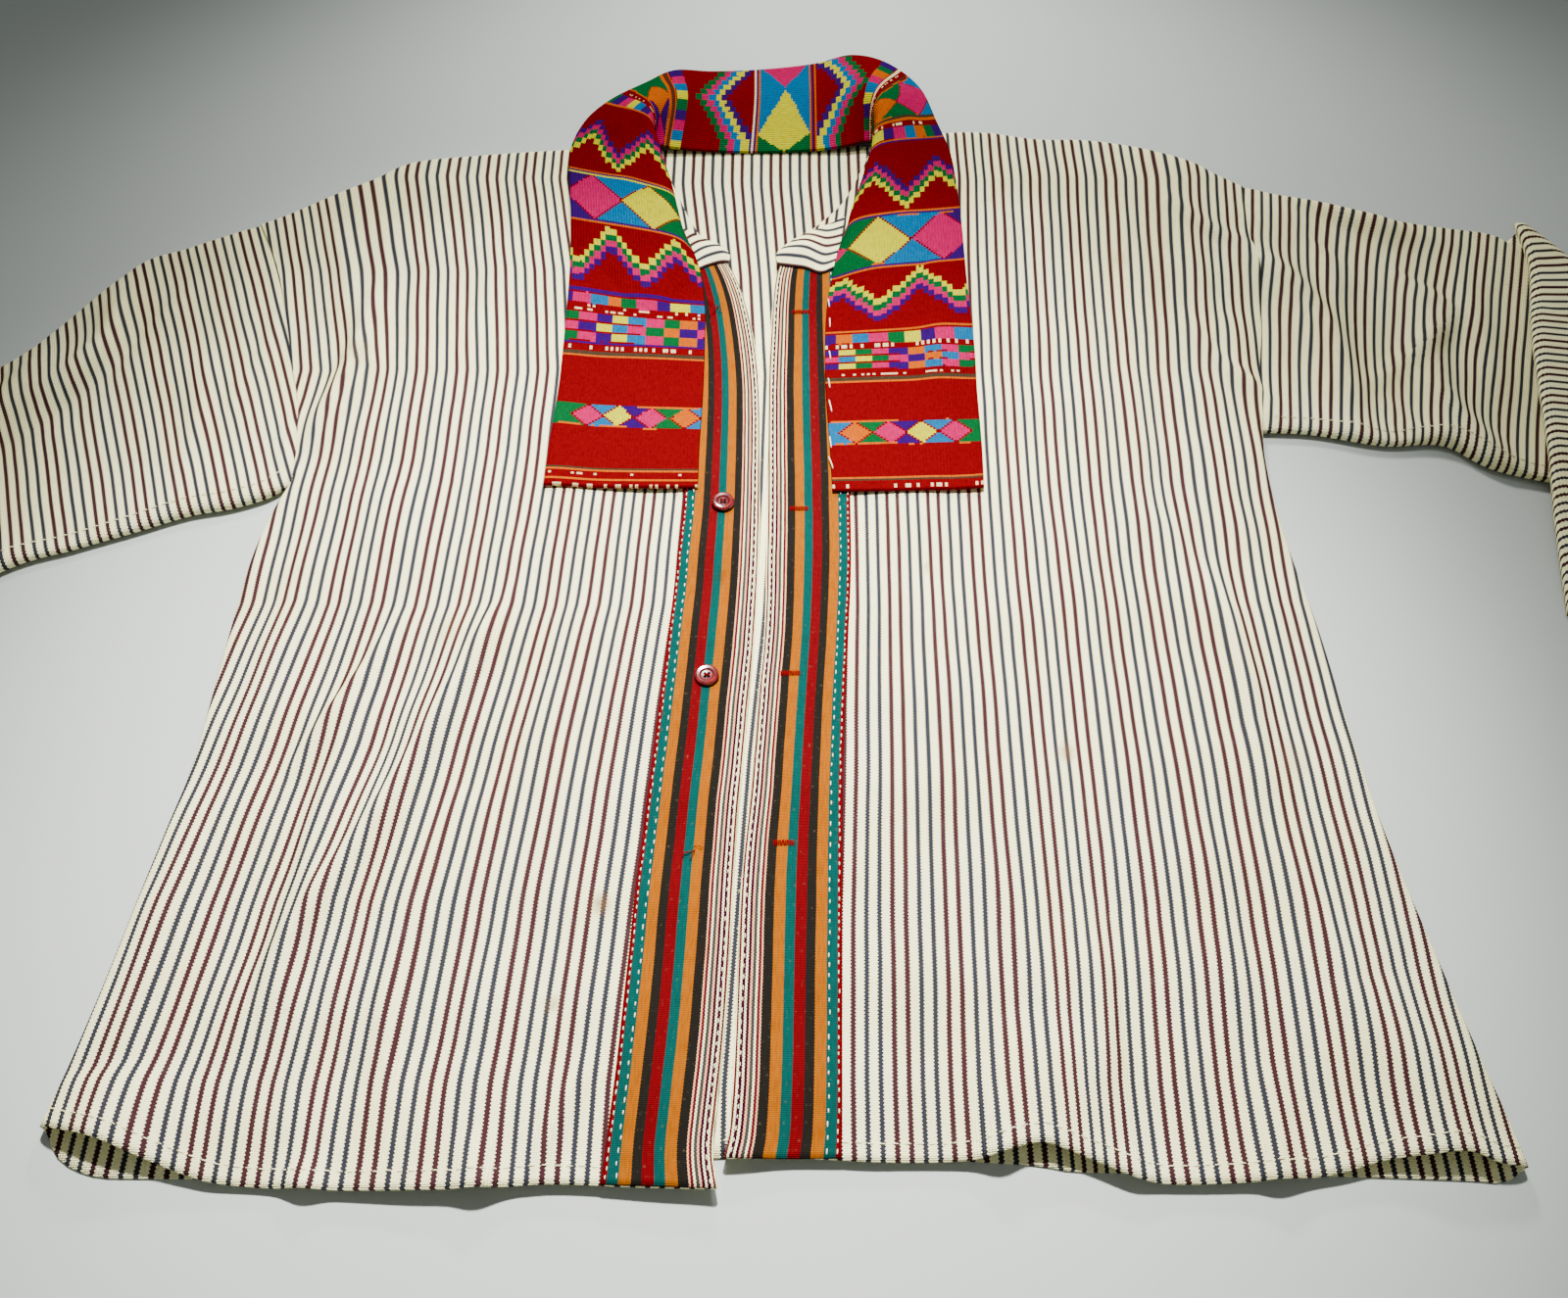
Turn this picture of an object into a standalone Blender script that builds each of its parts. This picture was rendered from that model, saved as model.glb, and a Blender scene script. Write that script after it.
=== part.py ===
"""A man's shirt of striped hand-woven cotton with a brocaded collar, laid open on a flat surface.

Everything is worked out in millimetres on the surface: x to the right, y from the hem to the
collar, z up from the surface. Left and right in a name are the wearer's, so the wearer's right
is at -x. The last step centres the shirt on the origin and scales it to metres.
"""

import math

import bpy
import numpy as np

# Cloth thicknesses and clearances, in millimetres
CLOTH = 1.5
BAND_CLOTH = 1.2
BROCADE = 2.0
SEAM = 1.0
LAY = 0.45

# How high the upper layer lies, in millimetres
SEAM_HEIGHT = 5.0
REST_HEIGHT = 5.0
SIDE_SWELL = 4.0
SWELL_REACH = 45.0
ROLL = 9.0

# Buttons, in millimetres
BUTTON_DIAMETER = 15.0
BUTTON_THICKNESS = 3.0
BUTTON_HOLE = 1.9
BUTTON_HOLE_SPREAD = 1.7
BUTTON_SHANK = 0.5

# Plan of the right half, one (x, y) row for each place along the edge
RIGHT_HEM = [(-33, -4), (-68, -3), (-118, -1), (-160, -4), (-226, -4), (-281, -1), (-301, 3),
             (-322, 10), (-350, 20), (-381, 27)]
RIGHT_SIDE = [(-381, 27), (-374, 63), (-367, 106), (-359, 163), (-354, 196), (-348, 240),
              (-346, 300), (-343, 380), (-337, 420), (-328, 451)]
RIGHT_ARMHOLE = [(-328, 451), (-329, 474), (-335, 515), (-348, 558), (-362, 612), (-377, 657),
                 (-396, 699)]
RIGHT_SHOULDER = [(-105, 786), (-166, 784), (-229, 778), (-289, 769), (-317, 750), (-345, 732),
                  (-378, 709), (-396, 699)]
RIGHT_NECK = [(-50, 672), (-66, 692), (-80, 725), (-92, 757), (-105, 786)]
RIGHT_FRONT_EDGE = [(-33, -4), (-36, 15), (-34, 43), (-30, 106), (-27, 193), (-22, 270),
                    (-18, 335), (-16, 400), (-16, 478), (-17, 531), (-21, 577), (-28, 616),
                    (-37, 645), (-50, 672)]

# Plan of the left half
LEFT_HEM = [(-31, 11), (7, 12), (50, 10), (99, 11), (128, 18), (143, 15), (161, 8), (180, 1),
            (204, -1), (255, 1), (280, 4), (304, 10), (327, 12), (346, 13), (361, 8), (376, 7)]
LEFT_SIDE = [(376, 7), (373, 28), (366, 63), (357, 115), (346, 181), (341, 225), (337, 280),
             (333, 335), (327, 388), (324, 430), (324, 469), (327, 496)]
LEFT_ARMHOLE = [(327, 496), (332, 539), (344, 596), (351, 647), (350, 690), (355, 742)]
LEFT_SHOULDER = [(72, 791), (126, 803), (163, 804), (202, 797), (241, 795), (280, 787),
                 (317, 770), (334, 757), (355, 742)]
LEFT_NECK = [(0, 668), (20, 690), (44, 722), (60, 757), (72, 791)]
LEFT_FRONT_EDGE = [(-31, 11), (-28, 28), (-26, 73), (-24, 163), (-19, 225), (-15, 292),
                   (-12, 335), (-11, 427), (-11, 531), (-9, 600), (-6, 640), (0, 668)]

BACK_HEM = [(-381, 27), (-371, 13), (-354, 5), (-328, 3), (-200, 4), (0, 14), (119, 10),
            (157, 6), (282, 4), (346, 2), (365, 1), (376, 7)]
BACK_NECK = [(-105, 786), (-90, 792), (-60, 794), (25, 796), (58, 796), (72, 791)]

# The right sleeve lies straight. The top of the arm and the underarm seam, from the armhole out
RIGHT_SLEEVE_TOP = [(-396, 699), (-416, 688), (-447, 672), (-472, 660), (-494, 632), (-521, 590),
                    (-552, 552), (-640, 480), (-730, 411), (-820, 342)]
RIGHT_SLEEVE_UNDER = [(-328, 451), (-343, 439), (-366, 430), (-392, 424), (-424, 411),
                      (-460, 397), (-505, 378), (-575, 318), (-648, 254), (-720, 191)]

# The left sleeve folds back at the elbow. Its stations up to the fold line, then past it
LEFT_SLEEVE_TOP = [(355, 742), (400, 724), (444, 707), (500, 695), (530, 689), (543, 681)]
LEFT_SLEEVE_UNDER = [(327, 496), (362, 494), (409, 484), (450, 484), (486, 460), (590, 434),
                     (722, 393)]
LEFT_CUFF_LEADING = [(543, 681), (545, 640), (531, 578), (521, 520), (512, 463), (504, 414),
                     (495, 345)]
LEFT_CUFF_TRAILING = [(722, 393), (721, 380), (720, 366), (718, 350), (715, 335), (712, 320),
                      (708, 303)]
FOLD_TURNS = 6
FOLD_INNER = 6.6
FOLD_OUTER = 12.0

# Height of the folded-back forearm's lower layer, by its share of the way from fold to wrist
FOREARM_SHARES = (0, 0.2, 0.62, 0.8, 1)
FOREARM_HEIGHTS = (19.35, 11.6, 11.4, 6, 0.75)

# Largest folds: three (x, y) places along each, half width, height (a trough is negative), and
# lean, the share by which the side towards +x is the wider one
FOLD_COLUMNS = ("x0", "y0", "x1", "y1", "x2", "y2", "half_width", "height", "lean")
FOLDS = [
    (-176, 385, -222, 250, -300, 50, 17, 6.5, 0.35),
    (-236, 350, -262, 285, -292, 225, 12, 4.0, 0.3),
    (-185, 225, -197, 190, -212, 150, 11, 3.5, 0.3),
    (-290, 640, -296, 545, -322, 468, 13, 6.5, -0.4),
    (-318, 640, -318, 545, -330, 475, 9, -3.5, 0.0),
    (-250, 470, -262, 400, -270, 330, 24, 4.0, 0.0),
    (-110, 420, -128, 300, -140, 160, 22, 3.0, 0.2),
    (-355, 60, -348, 20, -345, -30, 26, 11.0, 0.0),
    (-170, 70, -176, 10, -178, -40, 34, 4.0, 0.0),
    (-60, 90, -62, 10, -62, -40, 24, 2.5, 0.0),
    (-470, 640, -492, 552, -580, 478, 17, 9.0, -0.35),
    (-455, 600, -478, 540, -560, 450, 10, -3.0, 0.0),
    (-400, 640, -402, 560, -420, 440, 20, 4.0, 0.3),
    (326, 690, 366, 625, 384, 500, 14, 8.0, 0.4),
    (470, 640, 455, 530, 462, 465, 15, 7.0, -0.3),
    (420, 640, 424, 560, 430, 470, 17, -3.0, 0.0),
    (318, 610, 320, 550, 332, 495, 11, 6.0, 0.2),
    (236, 430, 264, 365, 284, 262, 17, 6.5, -0.4),
    (200, 640, 206, 540, 214, 430, 26, 3.5, 0.0),
    (162, 130, 170, 50, 178, -30, 15, 6.0, -0.3),
    (132, 90, 130, 20, 128, -30, 26, 8.0, 0.0),
    (318, 110, 336, 30, 342, -30, 26, 10.0, 0.0),
    (90, 330, 96, 230, 98, 120, 26, 3.0, 0.0),
    (-20, 60, -24, 10, -26, -40, 20, 3.0, 0.0),
]

# The collar band, a row for each section from the right lapel's end round the neck to the left
# one's: the sewn edge, the roll and the free edge, each with its height
COLLAR_COLUMNS = ("sewn_x", "sewn_y", "sewn_z", "roll_x", "roll_y", "roll_z",
                  "free_x", "free_y", "free_z")
COLLAR = [
    (-57, 443, 0, -108, 443, 0, -159, 444, 0),
    (-57, 482, 0, -106, 483, 0, -158, 485, 0),
    (-56, 523, 0, -104, 525, 0, -156, 527, 0),
    (-56, 565, 0, -102, 568, 0, -156, 570, 0),
    (-57, 608, 0, -96, 612, 11, -157, 622, 0),
    (-62, 645, 12, -89, 652, 16, -159, 672, 10),
    (-74, 680, 13, -88, 694, 22, -163, 726, 12),
    (-88, 722, 12, -93, 732, 27, -167, 772, 13),
    (-98, 757, 11, -101, 768, 31, -158, 808, 14),
    (-103, 779, 10.5, -105, 795, 31, -139, 834, 15),
    (-100, 787, 9, -99, 822, 23, -112, 860, 12),
    (-86, 787, 6.5, -82, 840, 13, -90, 881, 8),
    (-60, 786, 4.5, -56, 842, 8, -58, 887, 2.5),
    (-18, 786, 3.0, -16, 842, 6, -16, 891, 1.6),
    (25, 787, 4.5, 25, 845, 8, 25, 897, 2.5),
    (50, 789, 7, 50, 848, 13, 56, 901, 8),
    (65, 792, 9, 68, 838, 23, 84, 884, 13),
    (71, 788, 10.5, 76, 808, 31, 109, 850, 15),
    (69, 764, 11, 74, 778, 31, 121, 808, 14),
    (60, 728, 12, 68, 740, 27, 130, 770, 13),
    (47, 686, 13, 60, 700, 22, 133, 722, 12),
    (37, 648, 12, 64, 655, 16, 134, 672, 10),
    (31, 608, 0, 70, 612, 11, 134, 622, 0),
    (29, 565, 0, 76, 568, 0, 135, 570, 0),
    (29, 523, 0, 80, 525, 0, 134, 527, 0),
    (31, 480, 0, 82, 482, 0, 134, 484, 0),
    (32, 440, 0, 82, 441, 0, 133, 444, 0),
]

# The bright strips: the outer edge of each, from the hem up; the inner edge is the front's own
RIGHT_BAND_OUTER = [(-92, -1.5), (-90, 27), (-87, 73), (-83, 162), (-78, 237), (-72, 326),
                    (-69, 378), (-66, 442), (-65, 520), (-66, 570), (-69, 610), (-76, 658)]
LEFT_BAND_OUTER = [(29, 11.5), (30, 27), (31, 73), (33, 162), (35, 237), (40, 326), (43, 378),
                   (44, 440), (43, 500), (42, 560), (41, 600), (40, 656)]
BAND_TOP_SHARE = 0.975

# The turned-out neckline strips, a row for each section: lower edge, crest and upper edge
NECKBAND_COLUMNS = ("low_x", "low_y", "low_z", "crest_x", "crest_y", "crest_z",
                    "high_x", "high_y", "high_z")
RIGHT_NECKBAND = [
    (-41, 655, 9.2, -40, 661, 9.6, -42, 667, 9.2),
    (-47, 655, 9.2, -47, 664, 11.5, -50, 675, 9.2),
    (-55, 652, 9.2, -57, 665, 11.5, -62, 682, 9.2),
    (-62, 648, 9.2, -67, 666, 9.8, -73, 690, 9.2),
    (-68, 642, 9.2, -74, 668, 9.2, -81, 700, 9.2),
]
LEFT_NECKBAND = [
    (-4, 653, 9.2, -6, 660, 9.6, -4, 667, 9.2),
    (6, 651, 9.2, 4, 664, 12.5, 5, 677, 9.2),
    (16, 649, 9.2, 16, 668, 13.5, 19, 688, 9.2),
    (27, 644, 9.2, 30, 668, 11, 34, 696, 9.2),
    (37, 649, 9.2, 42, 672, 9.2, 46, 704, 9.2),
]

BUTTON_PLACES = [("button_lower", -47, 297), ("button_upper", -40, 431)]

# Grid counts: cells across and along each piece
FRONT_CELLS = (22, 30)
BACK_CELLS = (16, 24)
SLEEVE_CELLS = 16
RIGHT_SLEEVE_STATIONS = (0, 0.03, 0.06, 0.1, 0.14, 0.18, 0.22, 0.26, 0.3, 0.34, 0.4, 0.5, 0.65,
                         0.82, 1)

# Where the corners between two edge paths fall, as shares of the panel's grid
NECK_CORNER = 0.29
BACK_NECK_CORNERS = (0.38, 0.62)
UNDERARM_CORNER = 0.63
BAND_CELLS = (3, 34)
COLLAR_CELLS = (9, 52)
NECKBAND_CELLS = (5, 9)

COTTON = ("striped_cotton", (0.78, 0.75, 0.66), 0.95)
BRIGHT_STRIP = ("bright_striped_cotton", (0.72, 0.23, 0.05), 0.9)
BROCADE_LOOK = ("brocade", (0.5, 0.01, 0.01), 0.92)
BUTTON_LOOK = ("red_button", (0.33, 0.02, 0.02), 0.2)


def smooth_path(rows, per_span=12):
    """A smooth curve through the rows (Catmull-Rom), as points evenly spaced along it."""
    points = np.array(rows, float)
    before = 2 * points[0] - points[1]
    after = 2 * points[-1] - points[-2]
    padded = np.vstack([before, points, after])
    out = []
    for index in range(1, len(padded) - 2):
        a, b, c, d = padded[index - 1:index + 3]
        for step in range(per_span):
            t = step / per_span
            out.append(0.5 * (2 * b + (c - a) * t + (2 * a - 5 * b + 4 * c - d) * t ** 2
                              + (3 * b - a - 3 * c + d) * t ** 3))
    out.append(points[-1])
    return np.array(out)


def along(path, shares):
    """Points of a path at the given shares of its length."""
    steps = np.linalg.norm(np.diff(path, axis=0), axis=1)
    length = np.concatenate([[0], np.cumsum(steps)])
    shares = np.asarray(shares, float) * length[-1]
    return np.stack([np.interp(shares, length, column) for column in path.T], axis=-1)


def distance_to(points, path):
    """The distance of each (x, y) point to a path."""
    start = path[:-1]
    step = path[1:] - start
    found = np.full(len(points), np.inf)
    for origin, run in zip(start, step):
        share = np.clip((points - origin) @ run / max(run @ run, 1e-9), 0, 1)
        gap = np.linalg.norm(points - origin - share[:, None] * run, axis=1)
        found = np.minimum(found, gap)
    return found


def inside(points, outline):
    """Whether each (x, y) point lies inside a closed outline."""
    found = np.zeros(len(points), bool)
    for a, b in zip(outline, np.roll(outline, -1, axis=0)):
        crosses = (a[1] > points[:, 1]) != (b[1] > points[:, 1])
        rise = b[1] - a[1] if b[1] != a[1] else 1e-9
        reach = a[0] + (points[:, 1] - a[1]) * (b[0] - a[0]) / rise
        found ^= crosses & (points[:, 0] < reach)
    return found


def fold_height(points, row):
    """What one fold adds at each point: a ridge or trough that fades towards its ends."""
    fold = dict(zip(FOLD_COLUMNS, row))
    path = smooth_path([(fold["x0"], fold["y0"]), (fold["x1"], fold["y1"]),
                        (fold["x2"], fold["y2"])])
    steps = np.diff(path, axis=0)
    lengths = np.linalg.norm(steps, axis=1)
    total = lengths.sum()
    nearest = np.full(len(points), np.inf)
    share = np.zeros(len(points))
    side = np.zeros(len(points))
    run = 0.0
    for origin, step, length in zip(path[:-1], steps, lengths):
        place = np.clip((points - origin) @ step / length ** 2, 0, 1)
        offset = points - origin - place[:, None] * step
        gap = np.linalg.norm(offset, axis=1)
        closer = gap < nearest
        nearest = np.where(closer, gap, nearest)
        share = np.where(closer, (run + place * length) / total, share)
        side = np.where(closer, np.sign(offset[:, 0]), side)
        run += length
    width = fold["half_width"] * (1 + fold["lean"] * side)
    fade = np.sin(math.pi * np.clip(share, 0.02, 0.98)) ** 0.7
    return fold["height"] * fade * np.exp(-(nearest / width) ** 2)


SILHOUETTE = [smooth_path(rows) for rows in (
    RIGHT_SIDE, RIGHT_SHOULDER, RIGHT_SLEEVE_TOP, RIGHT_SLEEVE_UNDER,
    LEFT_SIDE, LEFT_SHOULDER, LEFT_SLEEVE_TOP, LEFT_SLEEVE_UNDER)]


def edge_distance(points):
    """How far each point is from the nearest edge where the cloth rolls over to its underside."""
    return np.min([distance_to(points, path) for path in SILHOUETTE], axis=0)


def rolled(distance):
    """0 at a rolled edge, 1 from ROLL inwards, on a quarter of an ellipse."""
    return np.sqrt(1 - np.clip(1 - distance / ROLL, 0, 1) ** 2)


def upper_height(points):
    """Height of the middle of the upper layer above the surface."""
    distance = edge_distance(points)
    crest = REST_HEIGHT + SIDE_SWELL * np.exp(-distance / SWELL_REACH)
    for row in FOLDS:
        crest = crest + fold_height(points, row)
    crest = np.maximum(crest, REST_HEIGHT - 1 + SIDE_SWELL * np.exp(-distance / SWELL_REACH))
    return SEAM_HEIGHT + SEAM / 2 + (crest - SEAM_HEIGHT) * rolled(distance)


def lower_height(points):
    """Height of the middle of the lower layer: flat on the surface, turned up at the edges."""
    flat = CLOTH / 2
    return SEAM_HEIGHT - SEAM / 2 - (SEAM_HEIGHT - SEAM / 2 - flat) * rolled(edge_distance(points))


def edge_shares(cells, width, at_start, at_end, crowd=0.0, corners=()):
    """Shares from 0 to 1 that crowd together where an edge rolls over, and meet each corner."""
    turn = 1 - np.cos(np.linspace(0, math.pi / 2, 5))
    near = turn * ROLL / width
    first = near if at_start else np.array([0.0])
    last = 1 - near[::-1] if at_end else np.array([1.0])
    even = np.linspace(0, 1, cells - len(first) - len(last) + 3)[1:-1]
    even = even + crowd * np.sin(math.pi * even) / math.pi
    shares = np.concatenate([first, first[-1] + even * (last[0] - first[-1]), last])
    for corner in corners:
        shares[np.argmin(np.abs(shares - corner))] = corner
    return shares


def along_parts(paths, corners, shares):
    """Like along, for paths that follow on from each other and meet at the given corners."""
    bounds = [0.0, *corners, 1.0]
    out = np.empty((len(shares), 2))
    for path, low, high in zip(paths, bounds, bounds[1:]):
        here = (shares >= low - 1e-9) & (shares <= high + 1e-9)
        out[here] = along(path, np.clip((shares[here] - low) / (high - low), 0, 1))
    return out


def patch(low, high, start, end, across, up):
    """A grid of (x, y) points between four rows of edge points (a Coons patch)."""
    u = across[None, :, None]
    v = up[:, None, None]
    sides = (1 - v) * low[None] + v * high[None] + (1 - u) * start[:, None] + u * end[:, None]
    corners = ((1 - u) * (1 - v) * low[0] + u * (1 - v) * low[-1]
               + (1 - u) * v * high[0] + u * v * high[-1])
    return sides - corners


def build_solid(name, points, faces, look, thickness):
    """One cloth wall: the points are its middle, and Solidify gives it its thickness."""
    mesh = bpy.data.meshes.new(name)
    mesh.from_pydata([tuple(p) for p in points], [], faces)
    mesh.validate()
    obj = bpy.data.objects.new(name, mesh)
    SHIRT.objects.link(obj)
    mesh.materials.append(material(look))
    wall = obj.modifiers.new("wall", "SOLIDIFY")
    wall.thickness = thickness
    wall.offset = 0
    wall.use_even_offset = False
    wall.use_quality_normals = True
    mesh.shade_smooth()
    return obj


def grid_faces(rows, columns, closed=False):
    """Quads of a grid stored row by row. A closed one joins its last column to its first."""
    faces = []
    for row in range(rows - 1):
        for column in range(columns if closed else columns - 1):
            a = row * columns + column
            b = row * columns + (column + 1) % columns
            faces.append((a, b, b + columns, a + columns))
    return faces


def material(look):
    """A plain Principled material in the piece's own colour."""
    name, colour, roughness = look
    made = bpy.data.materials.get(name)
    if made is None:
        made = bpy.data.materials.new(name)
        made.use_nodes = True
        shader = made.node_tree.nodes["Principled BSDF"]
        shader.inputs["Base Color"].default_value = (*colour, 1)
        shader.inputs["Roughness"].default_value = roughness
        shader.inputs["Metallic"].default_value = 0
        made.diffuse_color = (*colour, 1)
    return made


def sheet(name, plan, height, look=COTTON, thickness=CLOTH):
    """A panel from its plan grid and the height of the layer that it belongs to."""
    rows, columns = plan.shape[:2]
    flat = plan.reshape(-1, 2)
    points = np.column_stack([flat, height(flat)])
    return build_solid(name, points, grid_faces(rows, columns), look, thickness)


def build_front(name, hem, neck, shoulder, front_edge, side, armhole):
    """One front: hem, then the front edge on one side and the side seam and armhole on the other."""
    cells_across, cells_up = FRONT_CELLS
    across = edge_shares(cells_across, 330, False, True, 0.25, [NECK_CORNER])
    up = edge_shares(cells_up, 720, False, True, 0.0, [UNDERARM_CORNER])
    top = along_parts([smooth_path(neck), smooth_path(shoulder)], [NECK_CORNER], across)
    outer = along_parts([smooth_path(side), smooth_path(armhole)], [UNDERARM_CORNER], up)
    plan = patch(along(smooth_path(hem), across), top, along(smooth_path(front_edge), up), outer,
                 across, up)
    if plan[0, -1, 0] < plan[0, 0, 0]:
        plan = plan[:, ::-1]
    return sheet(name, plan, upper_height)


def build_back():
    """The back: flat on the surface, its sides and shoulders turned up to meet the fronts."""
    cells_across, cells_up = BACK_CELLS
    across = edge_shares(cells_across, 720, True, True, 0.0, BACK_NECK_CORNERS)
    up = edge_shares(cells_up, 740, False, True, 0.0, [UNDERARM_CORNER])
    top = along_parts([smooth_path(RIGHT_SHOULDER)[::-1], smooth_path(BACK_NECK),
                       smooth_path(LEFT_SHOULDER)], BACK_NECK_CORNERS, across)
    left = along_parts([smooth_path(RIGHT_SIDE), smooth_path(RIGHT_ARMHOLE)],
                       [UNDERARM_CORNER], up)
    right = along_parts([smooth_path(LEFT_SIDE), smooth_path(LEFT_ARMHOLE)],
                        [UNDERARM_CORNER], up)
    plan = patch(along(smooth_path(BACK_HEM), across), top, left, right, across, up)
    return sheet("back", plan, lower_height)


def ring_plan(top, under, across):
    """Plan points of one sleeve section, from the underarm seam to the top of the arm."""
    return under + across[:, None] * (top - under)


def armhole_bow(armhole, across):
    """How far the armhole seam bows away from the straight line between its ends."""
    path = smooth_path(armhole)
    return along(path, across) - ring_plan(path[-1], path[0], across)


def build_right_sleeve():
    """A flat-lying tube from the armhole to the plain cuff end."""
    stations = np.array(RIGHT_SLEEVE_STATIONS)
    top = along(smooth_path(RIGHT_SLEEVE_TOP), stations)
    under = along(smooth_path(RIGHT_SLEEVE_UNDER), stations)
    step = (top[1] + under[1] - top[0] - under[0]) / 2
    nudge = 1.3 * SEAM * step / np.linalg.norm(step)
    top[0] += nudge
    under[0] += 1.5 * nudge
    across = edge_shares(SLEEVE_CELLS, 200, True, True)
    bow = armhole_bow(RIGHT_ARMHOLE, across)
    rings = []
    for index, (a, b) in enumerate(zip(top, under)):
        plan = ring_plan(a, b, across) + bow * max(1 - index / 3, 0)
        over = np.column_stack([plan, upper_height(plan)])
        below = np.column_stack([plan, lower_height(plan)])[::-1]
        ring = np.vstack([over, below[1:-1]])
        ring[[0, len(over) - 1], 2] = SEAM_HEIGHT
        rings.append(ring)
    rows, columns = len(rings), len(rings[0])
    build_solid("sleeve_right", np.vstack(rings), grid_faces(rows, columns, True), COTTON, CLOTH)


def flat_ring(plan, outer, inner):
    """A flattened tube section from its plan points and the heights of its two walls."""
    share = np.linspace(0, 1, len(plan))
    middle = (outer + inner) / 2
    shape = np.clip(np.sin(math.pi * share) * 4, 0, 1) ** 0.5
    over = np.column_stack([plan, middle + (outer - middle) * shape])
    under = np.column_stack([plan, middle + (inner - middle) * shape])[::-1]
    return np.vstack([over, under[1:-1]])


def build_left_sleeve():
    """A tube that runs out to the elbow, turns over its fold line and comes down on itself."""
    across = edge_shares(SLEEVE_CELLS, 240, True, True)
    pivot = CLOTH / 2 + FOLD_OUTER
    rings = []
    shares = np.linspace(0, 1, 11)[:-1]
    top = along(smooth_path(LEFT_SLEEVE_TOP), shares)
    under = along(smooth_path(LEFT_SLEEVE_UNDER), shares)
    top[0, 0] += 1.3 * SEAM
    under[0, 0] += 1.5 * SEAM
    bow = armhole_bow(LEFT_ARMHOLE, across)
    for index, (a, b) in enumerate(zip(top, under)):
        plan = ring_plan(a, b, across) + bow * max(1 - index / 3, 0)
        near_fold = np.clip((index - 5) / 4, 0, 1)
        over = upper_height(plan) * (1 - near_fold) + (pivot - FOLD_INNER) * near_fold
        low = np.column_stack([plan, lower_height(plan)])
        high = np.column_stack([plan, over])
        high[[0, -1], 2] = low[[0, -1], 2] = SEAM_HEIGHT
        rings.append(np.vstack([low, high[::-1][1:-1]]))
    start = np.array(LEFT_SLEEVE_TOP[-1], float)
    end = np.array(LEFT_SLEEVE_UNDER[-1], float)
    line = (end - start) / np.linalg.norm(end - start)
    outward = np.array([-line[1], line[0]])
    plan = ring_plan(start, end, across)
    for turn in np.linspace(0, math.pi, FOLD_TURNS + 1):
        lift, reach = -math.cos(turn), math.sin(turn)
        flat = flat_ring(plan, FOLD_OUTER, FOLD_INNER)
        radius = flat[:, 2]
        moved = flat[:, :2] + np.outer(radius * reach, outward)
        rings.append(np.column_stack([moved, pivot + radius * lift]))
    shares = np.linspace(0, 1, 9)[1:]
    leading = along(smooth_path(LEFT_CUFF_LEADING), shares)
    trailing = along(smooth_path(LEFT_CUFF_TRAILING), shares)
    for share, a, b in zip(shares, leading, trailing):
        plan = ring_plan(a, b, across)
        inner = np.interp(share, FOREARM_SHARES, FOREARM_HEIGHTS)
        rings.append(flat_ring(plan, inner + FOLD_OUTER - FOLD_INNER, inner))
    rows, columns = len(rings), len(rings[0])
    build_solid("sleeve_left", np.vstack(rings), grid_faces(rows, columns, True), COTTON, CLOTH)


def build_band(name, front_edge, outer_edge):
    """A bright strip: the front's own points along its edge, moved up on to it."""
    cells_across, cells_up = BAND_CELLS
    up = np.linspace(0, 1, cells_up + 1)
    inner = along(smooth_path(front_edge), up * BAND_TOP_SHARE)
    outer = along(smooth_path(outer_edge), up)
    across = np.linspace(0.012, 1, cells_across + 1)
    plan = inner[:, None] + across[None, :, None] * (outer - inner)[:, None]
    if plan[0, -1, 0] < plan[0, 0, 0]:
        plan = plan[:, ::-1]
    return sheet(name, plan, band_height, BRIGHT_STRIP, BAND_CLOTH)


def band_height(points):
    """The middle of a strip that lies on a front."""
    return upper_height(points) + CLOTH / 2 + LAY + BAND_CLOTH / 2


def on_front(points, clearance):
    """The height at which a piece clears the fronts and their strips, and 0 beyond them."""
    outline_right = np.vstack([smooth_path(RIGHT_FRONT_EDGE), smooth_path(RIGHT_NECK),
                               smooth_path(RIGHT_SHOULDER), smooth_path(RIGHT_ARMHOLE)[::-1],
                               smooth_path(RIGHT_SIDE)[::-1]])
    outline_left = np.vstack([smooth_path(LEFT_FRONT_EDGE), smooth_path(LEFT_NECK),
                              smooth_path(LEFT_SHOULDER), smooth_path(LEFT_ARMHOLE)[::-1],
                              smooth_path(LEFT_SIDE)[::-1]])
    over = inside(points, outline_right) | inside(points, outline_left)
    return np.where(over, upper_height(points) + clearance, 0)


def arch(row, shares):
    """Points of a section through its first edge, crest and second edge."""
    a, b, c = np.array(row, float).reshape(3, 3)
    return along(smooth_path([a, b, c]), shares)


def build_sections(name, rows, cells, clearance, look, thickness):
    """A strip lofted through its sections, kept clear of the fronts under it."""
    cells_across, cells_along = cells
    shares = np.linspace(0, 1, cells_across + 1)
    sections = np.array([arch(row, shares) for row in rows])
    places = np.linspace(0, 1, cells_along + 1)
    grid = np.stack([along(smooth_path(sections[:, column]), places)
                     for column in range(cells_across + 1)], axis=1)
    flat = grid.reshape(-1, 3)
    flat[:, 2] = np.maximum(flat[:, 2], on_front(flat[:, :2], clearance))
    faces = grid_faces(cells_along + 1, cells_across + 1)
    return build_solid(name, flat, faces, look, thickness)


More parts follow.
